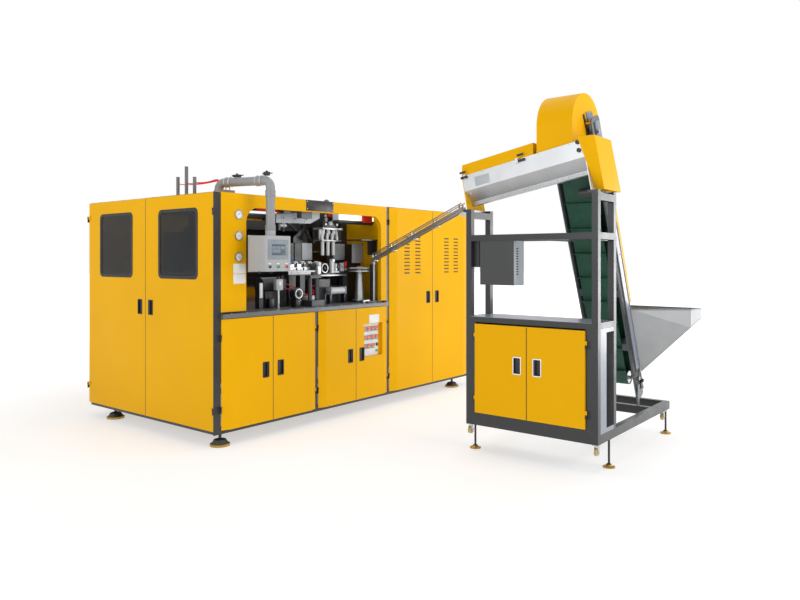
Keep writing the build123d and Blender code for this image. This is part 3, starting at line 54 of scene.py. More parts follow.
# Main planes in millimetres and slopes, as the CAD frame has them
DOOR_FACE = -80.5  # the front doors' outer face
SHEET_FACE = -53.0  # the bay surround's front face
END_FACE = -100.0  # the end doors' outer face
LOADER_FACE = 1075.5  # the loader doors' outer face
TABLE_TOP = 1035.0
TROUGH_WALL = 1120.0  # the trough's outer wall
TROUGH_SLOPE = math.radians(10.6)
ELEVATOR_LEAN = math.radians(23.5)
DOME_FACE = -2447.0  # the discharge dome's near face
SHARP_EDGE = math.radians(32)  # faces meeting at more than this keep a crisp edge


# Camera at the photographer's eye height, level, with the frame shifted
camera = bpy.data.objects.new("photo_camera", bpy.data.cameras.new("photo_camera"))
camera.data.lens = 31.63
camera.data.sensor_width = 36
camera.data.shift_y = -0.052
camera.data.clip_end = 200
camera.location = (-3.459, -4.546, 1.472)
camera.rotation_euler = (math.radians(90), 0, math.radians(-51.634))
bpy.context.scene.collection.objects.link(camera)
bpy.context.scene.camera = camera
bpy.context.scene.view_settings.view_transform = "Standard"


class Surface:
    """A procedural material on one principled shader."""

    def __init__(self, name):
        self.material = bpy.data.materials.new(name)
        self.material.use_nodes = True
        self.tree = self.material.node_tree
        self.shader = self.tree.nodes["Principled BSDF"]
        self.place = self.tree.nodes.new("ShaderNodeTexCoord").outputs["Object"]

    def add(self, kind, inputs=None, **settings):
        node = self.tree.nodes.new(kind)
        for key, value in settings.items():
            setattr(node, key, value)
        for key, value in (inputs or {}).items():
            self._feed(node.inputs[key], value)
        return node

    def noise(self, scale, detail=3.0, rough=0.5, stretch=None):
        """Noise by place; stretch scales the place by axis, which draws the noise out."""
        where = self.place
        if stretch:
            mapping = self.add("ShaderNodeMapping", {"Vector": where, "Scale": stretch})
            where = mapping.outputs["Vector"]
        node = self.add("ShaderNodeTexNoise", {
            "Vector": where, "Scale": scale, "Detail": detail, "Roughness": rough,
        })
        return node.outputs["Fac"]

    def span(self, value, low, high, new_low, new_high):
        """The value between low and high, carried over to the new range and held there."""
        node = self.add("ShaderNodeMapRange", {
            "Value": value,
            "From Min": low, "From Max": high,
            "To Min": new_low, "To Max": new_high,
        })
        return node.outputs["Result"]

    def blend(self, factor, first, second):
        """The first colour turning into the second as the factor goes from 0 to 1."""
        node = self.add("ShaderNodeMix", data_type="RGBA")
        for key, value in (("Factor", factor), ("A", first), ("B", second)):
            self._feed([s for s in node.inputs if s.name == key and s.enabled][0], value)
        return [s for s in node.outputs if s.enabled][0]

    def set(self, name, value):
        self._feed(self.shader.inputs[name], value)

    def _feed(self, socket, value):
        """Link the input socket to another node's output, or give it a plain value."""
        if isinstance(value, bpy.types.NodeSocket):
            self.tree.links.new(value, socket)
        else:
            socket.default_value = value

    def bump(self, height, strength, distance=0.001):
        node = self.add("ShaderNodeBump", {
            "Height": height, "Strength": strength, "Distance": distance,
        })
        self.tree.links.new(node.outputs["Normal"], self.shader.inputs["Normal"])

    def height(self):
        """Height above the floor, in metres."""
        parts = self.add("ShaderNodeSeparateXYZ", {"Vector": self.place})
        return parts.outputs["Z"]


DUST = (0.42, 0.38, 0.31, 1)
CLEAR_SHEET_IOR = 1.49


def tone(colour, factor):
    """The colour made lighter or darker, with full opacity."""
    return tuple(min(1.0, c * factor) for c in colour[:3]) + (1.0,)


def paint(name, colour, rough=0.34, peel=0.12, coat=0.2, drift=0.05, dust=0.12, shine=0.5):
    """Stoved paint: slow colour drift, orange peel, and dust low on the panel."""
    s = Surface(name)
    cloud = s.noise(1.1, 2.0)
    base = s.blend(
        s.span(cloud, 0.3, 0.7, 0.0, 1.0), tone(colour, 1 - drift), tone(colour, 1 + drift)
    )
    fleck = s.span(s.noise(38, 6.0, 0.7), 0.58, 0.75, 0.0, dust)
    low = s.span(s.height(), 0.1, 0.7, 1.0, 0.25)
    veil = s.add("ShaderNodeMath", {0: fleck, 1: low}, operation="MULTIPLY").outputs[0]
    s.set("Base Color", s.blend(veil, base, DUST))
    s.set("Roughness", s.span(s.noise(6, 4.0), 0.3, 0.7, rough - 0.05, rough + 0.07))
    s.set("Coat Weight", coat)
    s.set("Coat Roughness", 0.12)
    s.set("Specular IOR Level", shine)
    s.bump(s.noise(520, 2.0), peel, 0.0004)
    return s.material


def metal(name, colour, rough=0.32, grain=(1, 1, 40), stain=0.12, depth=0.2):
    """Bare metal with a directional grain, dull patches and fine scratches."""
    s = Surface(name)
    patch = s.span(s.noise(5, 4.0), 0.35, 0.7, 0.0, 1.0)
    s.set("Base Color", s.blend(patch, tone(colour, 1 - stain), tone(colour, 1.04)))
    s.set("Metallic", 0.95)
    lines = s.noise(60, 3.0, 0.6, grain)
    s.set("Roughness", s.span(lines, 0.25, 0.75, rough - 0.08, rough + 0.12))
    s.bump(lines, depth, 0.0003)
    return s.material


def plastic(name, colour, rough=0.45, texture=0.15, fine=700):
    """Moulded plastic with a fine spark-eroded texture and handled patches."""
    s = Surface(name)
    cloud = s.span(s.noise(9, 3.0), 0.35, 0.7, 0.0, 1.0)
    s.set("Base Color", s.blend(cloud, tone(colour, 0.92), tone(colour, 1.06)))
    s.set("Roughness", s.span(s.noise(14, 4.0), 0.3, 0.7, rough - 0.08, rough + 0.08))
    s.bump(s.noise(fine, 2.0), texture, 0.0003)
    return s.material


def rubber(name, colour, rough=0.62, ribs=0.0):
    """Rubber with a dusty bloom; ribs adds a woven backing print."""
    s = Surface(name)
    bloom = s.span(s.noise(16, 5.0, 0.65), 0.42, 0.75, 0.0, 0.35)
    s.set("Base Color", s.blend(bloom, (*colour, 1), tone(colour, 1.9)))
    s.set("Roughness", s.span(s.noise(30, 3.0), 0.3, 0.7, rough - 0.08, rough + 0.1))
    s.bump(s.noise(340, 3.0), 0.25 + ribs, 0.0005)
    return s.material


def pane(name, colour, opacity):
    """Tinted clear sheet with a faint unevenness and a film of dust."""
    s = Surface(name)
    s.set("Base Color", (*colour, 1))
    s.set("Roughness", s.span(s.noise(7, 3.0), 0.3, 0.7, 0.03, 0.1))
    s.set("Alpha", s.span(s.noise(3, 4.0), 0.3, 0.7, opacity - 0.04, opacity + 0.05))
    s.set("IOR", CLEAR_SHEET_IOR)
    s.set("Specular IOR Level", 0.2)
    s.bump(s.noise(2.4, 2.0), 0.05, 0.002)
    return s.material


def glow(name, colour, strength):
    """A lit display with a fine pixel unevenness."""
    s = Surface(name)
    flicker = s.span(s.noise(900, 1.0), 0.3, 0.7, 0.0, 1.0)
    shade = s.blend(flicker, tone(colour, 0.93), tone(colour, 1.05))
    s.set("Base Color", shade)
    s.set("Emission Color", shade)
    s.set("Emission Strength", strength)
    s.set("Roughness", s.span(s.noise(25, 2.0), 0.3, 0.7, 0.14, 0.24))
    return s.material


def two_tone(name, upper, lower, edge):
    """A levelling foot: plated pad with a dark moulded cap above the given height."""
    s = Surface(name)
    split = s.span(s.height(), edge - 0.0015, edge + 0.0015, 0.0, 1.0)
    cloud = s.span(s.noise(40, 4.0), 0.35, 0.7, 0.0, 1.0)
    plated = s.blend(cloud, tone(lower, 0.82), tone(lower, 1.08))
    s.set("Base Color", s.blend(split, plated, (*upper, 1)))
    s.set("Metallic", s.span(split, 0.0, 1.0, 0.75, 0.0))
    s.set("Roughness", s.span(s.noise(50, 4.0), 0.3, 0.7, 0.34, 0.52))
    s.bump(s.noise(260, 3.0), 0.2, 0.0004)
    return s.material


# One finish for each material slot of the part
finishes = {
    "yellow_paint": paint("yellow_paint", (0.835, 0.43, 0.001), rough=0.4, peel=0.1, coat=0.02,
                          drift=0.035, dust=0.02, shine=0.06),
    "dark_paint": paint("dark_paint", (0.024, 0.026, 0.029), rough=0.34, peel=0.2, shine=0.4),
    "black_paint": paint("black_paint", (0.014, 0.014, 0.016), rough=0.4, peel=0.2),
    "light_paint": paint("light_paint", (0.40, 0.41, 0.42), rough=0.38, peel=0.12),
    "white_paint": metal("white_paint", (0.50, 0.52, 0.53), 0.42, (1, 1, 1), 0.2),
    "table_grey": paint("table_grey", (0.13, 0.135, 0.14), rough=0.4, peel=0.25),
    "plate_grey": paint("plate_grey", (0.10, 0.118, 0.128), rough=0.42, peel=0.15),
    "cabinet_grey": paint("cabinet_grey", (0.030, 0.032, 0.034), rough=0.42, peel=0.2),
    "drive_grey": paint("drive_grey", (0.030, 0.033, 0.037), rough=0.4, peel=0.4),
    "gauge_steel": metal("gauge_steel", (0.52, 0.53, 0.54), 0.24, (1, 1, 1)),
    "platen_steel": metal("platen_steel", (0.50, 0.51, 0.52), 0.3, (30, 1, 1)),
    "silver_sheet": metal("silver_sheet", (0.56, 0.575, 0.59), 0.42, (1, 1, 30), 0.06, 0.1),
    "foot_gold": two_tone("foot_gold", (0.02, 0.02, 0.022), (0.50, 0.31, 0.07), 0.021),
    "black_plastic": plastic("black_plastic", (0.012, 0.012, 0.014), 0.48),
    "white_plastic": plastic("white_plastic", (0.72, 0.72, 0.70), 0.4),
    "star_plastic": plastic("star_plastic", (0.34, 0.35, 0.36), 0.4),
    "screen_black": plastic("screen_black", (0.02, 0.024, 0.028), 0.22, 0.03),
    "green_plastic": plastic("green_plastic", (0.02, 0.33, 0.07), 0.25, 0.05),
    "red_plastic": plastic("red_plastic", (0.55, 0.014, 0.012), 0.25, 0.05),
    "caster_plastic": metal("caster_plastic", (0.55, 0.56, 0.57), 0.35, (1, 1, 6)),
    "tinted_pane": pane("tinted_pane", (0.014, 0.016, 0.018), 0.76),
    "red_hose": rubber("red_hose", (0.86, 0.02, 0.015), 0.4),
    "green_belt": rubber("green_belt", (0.012, 0.075, 0.045), 0.55, 0.2),
}

# Finishes of the scene's own pieces
tyre_tan = plastic("caster_tan", (0.50, 0.33, 0.08), 0.35, 0.05)
zinc = metal("zinc", (0.58, 0.6, 0.62), 0.38, (1, 1, 3), 0.18)
chrome = metal("chrome", (0.72, 0.73, 0.75), 0.14, (1, 1, 1), 0.05, 0.03)
steel = finishes["platen_steel"]
black = finishes["black_plastic"]
dark = finishes["dark_paint"]
white = plastic("label_white", (0.80, 0.80, 0.79), 0.42, 0.03)
plate_black = plastic("plate_black", (0.010, 0.010, 0.012), 0.3, 0.04)
# Black rubber for the real seals and caps, also used for black strips of painted shade in gaps,
# openings and under flanges
seal_and_shade = rubber("seal_rubber_and_shade", (0.010, 0.010, 0.011), 0.55)
dial = plastic("dial_white", (0.85, 0.85, 0.83), 0.35, 0.02)
meter_red = glow("meter_red", (0.55, 0.03, 0.012), 0.5)
meter_amber = glow("meter_amber", (0.75, 0.20, 0.02), 0.6)
lit_screen = glow("lit_screen", (0.12, 0.14, 0.17), 0.2)
lit_pale = glow("lit_pale", (0.19, 0.22, 0.25), 0.25)
lit_blue = glow("lit_blue", (0.06, 0.09, 0.15), 0.25)
lit_green = glow("lit_green", (0.08, 0.17, 0.14), 0.25)
# Silver for bright parts, also the painted reflection on the control box's lit side
silver_and_sheen = paint("silver_paint_and_sheen", (0.42, 0.45, 0.48), rough=0.4, peel=0.1)
pale = paint("pale_paint", (0.74, 0.76, 0.77), rough=0.34, peel=0.08)
scarlet = plastic("scarlet", (0.70, 0.018, 0.015), 0.35, 0.05)
blue_cap = plastic("blue_cap", (0.02, 0.11, 0.34), 0.35, 0.05)
dull_sheet = metal("dull_sheet", (0.40, 0.405, 0.41), 0.5, (1, 1, 30), 0.06, 0.1)
blue_sheet = paint("blue_sheet", (0.22, 0.245, 0.30), rough=0.35, peel=0.1)
channel_blue = paint("channel_blue", (0.20, 0.22, 0.27), rough=0.3, peel=0.1)
arm_grey = paint("arm_grey", (0.25, 0.257, 0.268), rough=0.38, peel=0.12)
oven_grey = paint("oven_grey", (0.035, 0.037, 0.040), rough=0.4, peel=0.2)
screen_grey = plastic("screen_grey", (0.27, 0.31, 0.34), 0.25, 0.03)
bay_tube = glow("bay_tube", (0.95, 0.97, 1.0), 1.3)
valve_grey = metal("valve_grey", (0.16, 0.165, 0.17), 0.5, (1, 1, 20), 0.2)
# Dull black for the painted shade on the loader's side
painted_shade_black = paint("painted_shade_black", (0.010, 0.011, 0.013), rough=0.75, coat=0.0, shine=0.1)

# Nodes whose shade differs from the rest of their slot
own_finish = {
    "air_valves": valve_grey,
    "arm_base": arm_grey,
    "hmi_screen": screen_grey,
    "hopper": dull_sheet,
    "loader_cabinet": blue_sheet,
    "oven_unit": oven_grey,
    "swing_arm": arm_grey,
}

slots = {row["node"]: row["material_slot"] for row in frame["record"]["subparts"]}
for node, obj in frame["nodes"].items():
    finish = own_finish.get(node, finishes[slots[node]])
    obj.data.materials.clear()
    obj.data.materials.append(finish)


class Piece:
    """Builds one mesh in millimetres of the machine's frame, then rides it on a body."""

    def __init__(self, name, body, *materials):
        self.name, self.body, self.materials = name, body, materials
        self.mesh = bmesh.new()
        self.frame = Matrix.Identity(4)

    def at(self, origin, x=(1, 0, 0), z=(0, 0, 1)):
        """Draw from here on in local axes at the origin: x as given, z squared to it."""
        x = Vector(x).normalized()
        z = Vector(z)
        y = z.cross(x).normalized()
        z = x.cross(y)
        self.frame = Matrix.Translation(Vector(origin)) @ Matrix((x, y, z)).transposed().to_4x4()
        return self

    def home(self):
        """Draw from here on in the machine's own frame."""
        self.frame = Matrix.Identity(4)
        return self

    def _point(self, p):
        return self.mesh.verts.new(self.frame @ Vector(p))

    def _tag(self, faces, finish):
        for face in faces:
            face.material_index = finish

    def slab(self, x0, x1, y0, y1, z0, z1, finish=0, edge=1.0):
        """A plate or block with eased edges."""
        floor_plan = ((x0, y0), (x1, y0), (x1, y1), (x0, y1))
        corners = [self._point((x, y, z)) for z in (z0, z1) for x, y in floor_plan]
        rings = (
            (0, 3, 2, 1), (4, 5, 6, 7), (0, 1, 5, 4), (1, 2, 6, 5), (2, 3, 7, 6), (3, 0, 4, 7),
        )
        faces = [self.mesh.faces.new([corners[i] for i in ring]) for ring in rings]
        self._tag(faces, finish)
        if edge:
            edges = list({e for f in faces for e in f.edges})
            limit = 0.45 * min(abs(x1 - x0), abs(y1 - y0), abs(z1 - z0))
            done = bmesh.ops.bevel(
                self.mesh, geom=edges, offset=min(edge, limit), segments=2, profile=0.6,
                affect="EDGES", material=finish,
            )
            self._tag(done["faces"], finish)
        return self

    def rings(self, loops, finish=0, closed=False):
        """Skin a row of closed point loops of equal length, capped unless it closes on itself."""
        rows = [[self._point(p) for p in loop] for loop in loops]
        faces = []
        pairs = list(zip(rows, rows[1:])) + ([(rows[-1], rows[0])] if closed else [])
        count = len(rows[0])
        for low, high in pairs:
            for i in range(count):
                j = (i + 1) % count
                faces.append(self.mesh.faces.new((low[i], low[j], high[j], high[i])))
        if not closed:
            faces.append(self.mesh.faces.new(list(reversed(rows[0]))))
            faces.append(self.mesh.faces.new(rows[-1]))
        self._tag(faces, finish)
        return self

    def prism(self, outline, way, finish=0):
        """A flat outline drawn out along a way."""
        way = Vector(way)
        return self.rings([outline, [Vector(p) + way for p in outline]], finish)

    def turned(self, start, way, profile, finish=0, sides=24):
        """A turned form: (mm along, radius) pairs from start along a way."""
        start, way = Vector(start), Vector(way).normalized()
        side = way.orthogonal().normalized()
        other = way.cross(side)
        loops = []
        for along, radius in profile:
            centre = start + way * along
            loops.append([
                centre + radius * (math.cos(a) * side + math.sin(a) * other)
                for a in (2 * math.pi * k / sides for k in range(sides))
            ])
        return self.rings(loops, finish)

    def rod(self, start, end, radius, finish=0, ease=0.6, sides=20):
        """A round bar with eased rims."""
        way = Vector(end) - Vector(start)
        length = way.length
        ease = min(ease, 0.45 * length, 0.45 * radius)
        return self.turned(start, way, [
            (0, radius - ease), (ease, radius), (length - ease, radius), (length, radius - ease),
        ], finish, sides)

    def bolt(self, seat, way, size, finish=0):
        """A socket head screw with its washer, standing on the seat."""
        return self.turned(seat, way, [
            (0, size * 1.5), (size * 0.25, size * 1.5), (size * 0.26, size),
            (size * 1.1, size), (size * 1.3, size * 0.85), (size * 1.3, size * 0.5),
            (size * 0.7, size * 0.45),
        ], finish, 12)

    def bolts(self, xs, y, zs, size, finish=0):
        """Socket head screws at every crossing of xs and zs, facing the front."""
        for x in xs:
            for z in zs:
                self.bolt((x, y, z), FRONT, size, finish)

    def heads(self, xs, y, zs, profile, finish, sides):
        """Turned heads at every crossing of xs and zs, facing the front."""
        for x in xs:
            for z in zs:
                self.turned((x, y, z), FRONT, profile, finish, sides)

    def done(self, slot):
        """Turn the drawing into an object of metres that rides on its body."""
        self.mesh.transform(Matrix.Scale(MM, 4))
        bmesh.ops.recalc_face_normals(self.mesh, faces=self.mesh.faces)
        data = bpy.data.meshes.new(self.name)
        self.mesh.to_mesh(data)
        self.mesh.free()
        for material in self.materials:
            data.materials.append(material)
        for polygon in data.polygons:
            polygon.use_smooth = True
        data.set_sharp_from_angle(angle=SHARP_EDGE)
        obj = bpy.data.objects.new(self.name, data)
        bpy.context.scene.collection.objects.link(obj)
        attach(obj, self.body)


def ray(degrees):
    """A unit vector in the plane of the front, turned up from the right."""
    a = math.radians(degrees)
    return Vector((math.cos(a), 0, math.sin(a)))


def bolt_circle(centre, radius, count, first):
    """Seats on a level circle, the first of them turned by so many degrees."""
    for k in range(count):
        a = math.radians(first + 360 / count * k)
        yield Vector(centre) + radius * Vector((math.cos(a), math.sin(a), 0))


def rounded(width, height, radius, steps=8):
    """Corner points of a rounded rectangle round the origin."""
    points = []
    for cx, cy, first in ((1, 1, 0), (-1, 1, 90), (-1, -1, 180), (1, -1, 270)):
        for k in range(steps + 1):
            a = math.radians(first + 90 * k / steps)
            points.append((
                cx * (width / 2 - radius) + radius * math.cos(a),
                cy * (height / 2 - radius) + radius * math.sin(a),
            ))
    return points


# Pulls: a black moulded insert in each recess, with a raised rim and a grip
def pull(name, body, centre, along, out, rim):
    piece = Piece(name, body, black, rim).at(centre, along, UP)
    inward = piece.frame.to_3x3() @ Vector((0, 1, 0))
    sign = 1 if inward @ out < 0 else -1

    def deep(shallow, bottom):
        return sorted((shallow * sign, bottom * sign))

    half_wide, half_high = 27.4, 57.4
    piece.slab(-27.3, 13.2, *deep(11.8, 12.9), -57.3, 57.3, 0, 0.3)
    for x0, x1 in ((-27.45, -26.4), (26.6, 27.45)):
        piece.slab(x0, x1, *deep(-1.5, 12.8), -half_high, half_high, 0, 0.3)
    for z0, z1 in ((-57.45, -56.4), (56.4, 57.45)):
        piece.slab(-half_wide, half_wide, *deep(-1.5, 12.8), z0, z1, 0, 0.3)
    piece.slab(12.7, half_wide, *deep(0.8, 12.6), -57.0, 57.0, 0, 2.0)
    outer, inner = rounded(70, 130, 9), rounded(54, 114, 5)
    crest, shoulder = rounded(67, 127, 8), rounded(57, 117, 6)
    rim_section = (
        (outer, 0.1), (outer, -1.8), (crest, -2.8), (shoulder, -2.8), (inner, -1.6), (inner, 0.1),
    )
    piece.rings(
        [[(x, depth * sign, z) for x, z in outline] for outline, depth in rim_section],
        1, closed=True,
    )
    piece.done("black_plastic")


LOW_PULL, TALL_PULL, LOADER_PULL = 555, 1057, 690
for name, body, x, z, way in (
    ("door_1", "door_1", 401.5, LOW_PULL, 1),
    ("door_2", "door_2", 562.5, LOW_PULL, -1),
    ("door_3", "door_3", 1433.5, LOW_PULL, 1),
    ("door_4", "door_4", 1594.5, LOW_PULL, -1),
    ("cabinet_left", "left_cabinet_door", 2671.5, TALL_PULL, 1),
    ("cabinet_right", "right_cabinet_door", 2832.5, TALL_PULL, -1),
):
    pull("pull_" + name, body, (x, DOOR_FACE, z), (way, 0, 0), FRONT, black)
for name, body, x, y, z, way, rim in (
    ("end_front", "front_end_door", END_FACE, 809.5, TALL_PULL, 1, black),
    ("end_rear", "rear_end_door", END_FACE, 970.5, TALL_PULL, -1, black),
    ("loader_left", "left_loader_door", LOADER_FACE, -2039, LOADER_PULL, -1, chrome),
    ("loader_right", "right_loader_door", LOADER_FACE, -2200, LOADER_PULL, 1, chrome),
):
    pull("pull_" + name, body, (x, y, z), (0, way, 0), LEFT, rim)


# Rubber seals round the end doors' windows
WINDOW_WIDE, WINDOW_HIGH, WINDOW_MIDDLE = 515, 540, 1590
for name, body, middle in (
    ("window_seal_front", "front_end_door", 421),
    ("window_seal_rear", "rear_end_door", 1359),
):
    window_seal = Piece(name, body, seal_and_shade)
    loops = []
    for grow, corner, x in (
        (16, 46, -99.8), (15, 46, -102.6), (4, 42, -103.2),
        (-9, 36, -102.2), (-11, 35, -98.0), (1, 40, -97.6),
    ):
        outline = rounded(WINDOW_WIDE + 2 * grow, WINDOW_HIGH + 2 * grow, corner, 10)
        loops.append([(x, middle + u, WINDOW_MIDDLE + v) for u, v in outline])
    window_seal.rings(loops, 0, closed=True)
    window_seal.done("black_plastic")

# Gauge faces: dial, graduations, needle and hub
GAUGE_X, GAUGE_GLASS, MARK_RING = 139, -57.0, 29
MARKS, FIRST_MARK, MARK_STEP = 21, 225, 13.5
gauges = Piece("gauge_faces", "machine", dial, plate_black, finishes["red_plastic"], steel)
for z, reading in ((1823, 50), (1652, 20), (1483, -30)):
    middle = Vector((GAUGE_X, GAUGE_GLASS, z))
    gauges.turned(middle, FRONT, [(0, 33), (0.8, 33), (0.9, 32)], 0, 40)
    for mark in range(MARKS):
        long = 7 if mark % 5 == 0 else 4
        way = ray(FIRST_MARK - MARK_STEP * mark)
        gauges.at(middle + way * (MARK_RING - long / 2) + 1.2 * FRONT, way, FRONT)
        gauges.slab(-long / 2, long / 2, -0.7, 0.7, 0, 0.4, 1, 0)
    gauges.at(middle + 2.2 * FRONT, ray(reading), FRONT)
    gauges.slab(-9, 25, -1.0, 1.0, 0, 0.7, 2, 0.2)
    gauges.home()
    gauges.rod(middle + FRONT, middle + 4 * FRONT, 4, 3, 0.6, 16)
gauges.done("white_plastic")

# Bare plates where the machine carries its labels
PLATE_PIN = [(0, 2.6), (0.5, 2.4), (1.0, 1.2)]
LABEL_FACE, SIGN_FACE = -54.8, -57
labels = Piece("label_plates", "machine", white, plate_black, steel)
for z0, z1 in ((1352, 1430), (1270, 1348)):
    labels.slab(88, 208, LABEL_FACE, SHEET_FACE, z0, z1, 0, 0.8)
    labels.heads((95, 201), LABEL_FACE, (z0 + 6, z1 - 6), PLATE_PIN, 2, 10)
labels.slab(884, 1226, SIGN_FACE, SHEET_FACE, 1894, 1990, 1, 1.5)
labels.heads((896, 1214), SIGN_FACE, (1912, 1976), [(0, 5), (1.2, 4.6), (2, 2.5)], 2, 12)
labels.done("black_plastic")

# Louvre blades pressed out of the cabinet doors, each over a black strip that is painted shade of
# the opening behind the blade
BLADES, BLADE_PITCH, BLADE_STEPS = 11, 37, 8
HALF_BLADE, BLADE_LIFT, COLUMN_ASIDE, COLUMN_MIDDLE = 47.5, 5.5, 93.5, 1517
for name, body, middle in (
    ("louvres_left", "left_cabinet_door", 2393.5),
    ("louvres_right", "right_cabinet_door", 3110.5),
):
    blades = Piece(name, body, finishes["yellow_paint"], seal_and_shade)
    for side in (-1, 1):
        centre = middle + side * COLUMN_ASIDE
        for row in range(BLADES):
            z = COLUMN_MIDDLE + (row - BLADES // 2) * BLADE_PITCH
            sheet = []
            for k in range(BLADE_STEPS + 1):
                t = k / BLADE_STEPS
                x = centre - HALF_BLADE + 2 * HALF_BLADE * t
                between_ends = 0 < k < BLADE_STEPS
                lift = BLADE_LIFT * math.sin(math.pi * t) ** 0.35 if between_ends else 0.0
                sheet.append([
                    (x, DOOR_FACE - 0.05, z + 8.2),
                    (x, DOOR_FACE - 0.5 * lift - 0.1, z + 3.0),
                    (x, DOOR_FACE - lift - 0.15, z - 5.0),
                    (x, DOOR_FACE - lift + 0.9, z - 5.0),
                    (x, DOOR_FACE - 0.5 * lift + 1.0, z + 2.4),
                    (x, DOOR_FACE + 1.0, z + 6.6),
                ])
            blades.rings(sheet, 0)
            # Black strip under each blade: painted shade of the opening
            blades.slab(centre - HALF_BLADE + 3, centre + HALF_BLADE - 3,
                        DOOR_FACE - 0.5, DOOR_FACE + 0.6, z - 17, z - 5.4, 1, 0.2)
    blades.done("yellow_paint")

# Operator panel: lit picture of plain blocks, given as shares of the glass
GLASS, GLASS_X, GLASS_Z = -363.6, (214.6, 357.2), (1496.2, 1582.6)
screen = Piece("operator_display", "panel", lit_screen, lit_pale, lit_blue, lit_green, plate_black)
screen.slab(*GLASS_X, GLASS - 0.5, GLASS + 0.2, *GLASS_Z, 0, 0)
wide, high = GLASS_X[1] - GLASS_X[0], GLASS_Z[1] - GLASS_Z[0]
for u0, u1, v0, v1, finish in (
    (0.02, 0.98, 0.88, 0.98, 2), (0.04, 0.30, 0.60, 0.82, 1), (0.34, 0.62, 0.60, 0.82, 1),
    (0.66, 0.96, 0.60, 0.82, 1), (0.04, 0.62, 0.24, 0.54, 1), (0.66, 0.96, 0.42, 0.54, 3),
    (0.66, 0.96, 0.24, 0.36, 2), (0.04, 0.20, 0.05, 0.16, 2), (0.23, 0.39, 0.05, 0.16, 2),
    (0.42, 0.58, 0.05, 0.16, 2), (0.61, 0.77, 0.05, 0.16, 2), (0.80, 0.96, 0.05, 0.16, 3),
):
    screen.slab(GLASS_X[0] + u0 * wide, GLASS_X[0] + u1 * wide, GLASS - 0.8, GLASS - 0.45,
                GLASS_Z[0] + v0 * high, GLASS_Z[0] + v1 * high, finish, 0)
screen.done("screen_black")

# Operator panel: corner screws, key plates and rings, back plate and cable glands
PANEL_FACE, KEY_FACE = -362, -370
panel_kit = Piece("operator_panel_details", "panel", white, black, steel, finishes["light_paint"])
panel_kit.bolts((164, 400), PANEL_FACE, (1382, 1638), 3, 2)
for x in (194, 282, 370):
    panel_kit.slab(x - 13, x + 13, PANEL_FACE - 1, PANEL_FACE, 1426, 1435, 0, 0.3)
    panel_kit.turned((x, KEY_FACE, 1407), FRONT,
                     [(0, 14.2), (0.6, 14.0), (0.6, 11.4), (0, 11.3)], 2, 24)
panel_kit.slab(146, 418, -164, -161, 1364, 1656, 3, 0.8)
for x in (220, 340):
    panel_kit.rod((x, -210, 1370), (x, -210, 1352), 10, 1, 1.5)
panel_kit.done("light_paint")

# Arm: clamp bands with their bolts, two black fittings, and the bolts of its base
arm_kit = Piece("arm_details", "arm", zinc, arm_grey, seal_and_shade)
arm_start, arm_run = Vector((160, 225, 2094)), Vector((130, -487, 0))
arm_way = arm_run.normalized()
for share in (0.155, 0.245, 0.755, 0.845):
    spot = arm_start + arm_run * share
    arm_kit.turned(spot - arm_way * 4, arm_way,
                   [(0, 41.2), (0.5, 43.5), (7.5, 43.5), (8, 41.2)], 0, 40)
    arm_kit.bolt(spot + 42 * UP, UP, 3.5, 0)
for z in (1968, 2006):
    arm_kit.turned((290, -262, z), UP, [(0, 41.2), (0.5, 43), (5.5, 43), (6, 41.2)], 1, 40)
for share, tall, half in ((0.36, 20, 34), (0.93, 30, 24)):
    arm_kit.at(arm_start + arm_run * share, arm_run, UP)
    arm_kit.slab(-half, half, -15, 15, 39, 40 + tall, 2, 4)
    arm_kit.slab(-half - 16, half + 30, -6, 6, 41 + tall * 0.4, 49 + tall * 0.4, 2, 3)
    arm_kit.turned((0, 0, 38 + tall), UP, [(0, 9), (10, 9), (12, 6)], 2, 16)
arm_kit.done("light_paint")
arm_foot = Piece("arm_base_bolts", "machine", zinc)
for seat in bolt_circle((160, 225, 2003), 54, 6, 30):
    arm_foot.bolt(seat, UP, 4)
arm_foot.done("platen_steel")

# Control panel: meter windows, digit bars, keys, knob, button ring and corner screws
PLATE_FACE, METER_FACE = -50.5, -59.5
TOP_ROW, ROW_PITCH, FIRST_COLUMN, COLUMN_PITCH = 786, 84, 1661, 60
meters = Piece("meter_faces", "door_4", plate_black, meter_red, meter_amber, black, white, steel)


def raised(x, z, half_wide, low, high, front, back, finish, edge):
    """A small block on a meter's face; front and back count from the face, out of it."""
    meters.slab(x - half_wide, x + half_wide, METER_FACE - front, METER_FACE - back,
                z + low, z + high, finish, edge)


for row, columns in enumerate((4, 4, 3)):
    z = TOP_ROW - row * ROW_PITCH
    for column in range(columns):
        x = FIRST_COLUMN + column * COLUMN_PITCH
        raised(x, z, 23, -23, 23, 1.6, 0, 0, 1.2)
        raised(x, z, 19, 1, 18, 2.4, 1.4, 1, 0.4)
        for digit in range(4):
            middle = x - 13.5 + digit * 9
            for bar in (4, 9.5, 15):
                raised(middle, z + bar, 2.6, -0.6, 0.6, 2.9, 2.3, 2, 0)
            raised(middle + 2.7, z, 0.5, 4.4, 14.6, 2.9, 2.3, 2, 0)
        raised(x, z, 19, -8, -2, 2.2, 1.4, 2, 0.3)
        for key in range(4):
            raised(x - 14.4 + key * 9.6, z, 3.2, -18, -12, 2.6, 1.4, 4, 0.6)
meters.turned((1841, METER_FACE, 626), FRONT,
              [(0, 18), (1.5, 18), (1.6, 11), (4, 10), (4.6, 8)], 3, 28)
meters.turned((1841, -57.6, 566), FRONT,
              [(0, 16.5), (1.2, 16.5), (1.2, 12.6), (0, 12.4)], 5, 28)
meters.bolts((1633, 1857), PLATE_FACE, (527, 831), 2.6, 5)
meters.done("black_plastic")

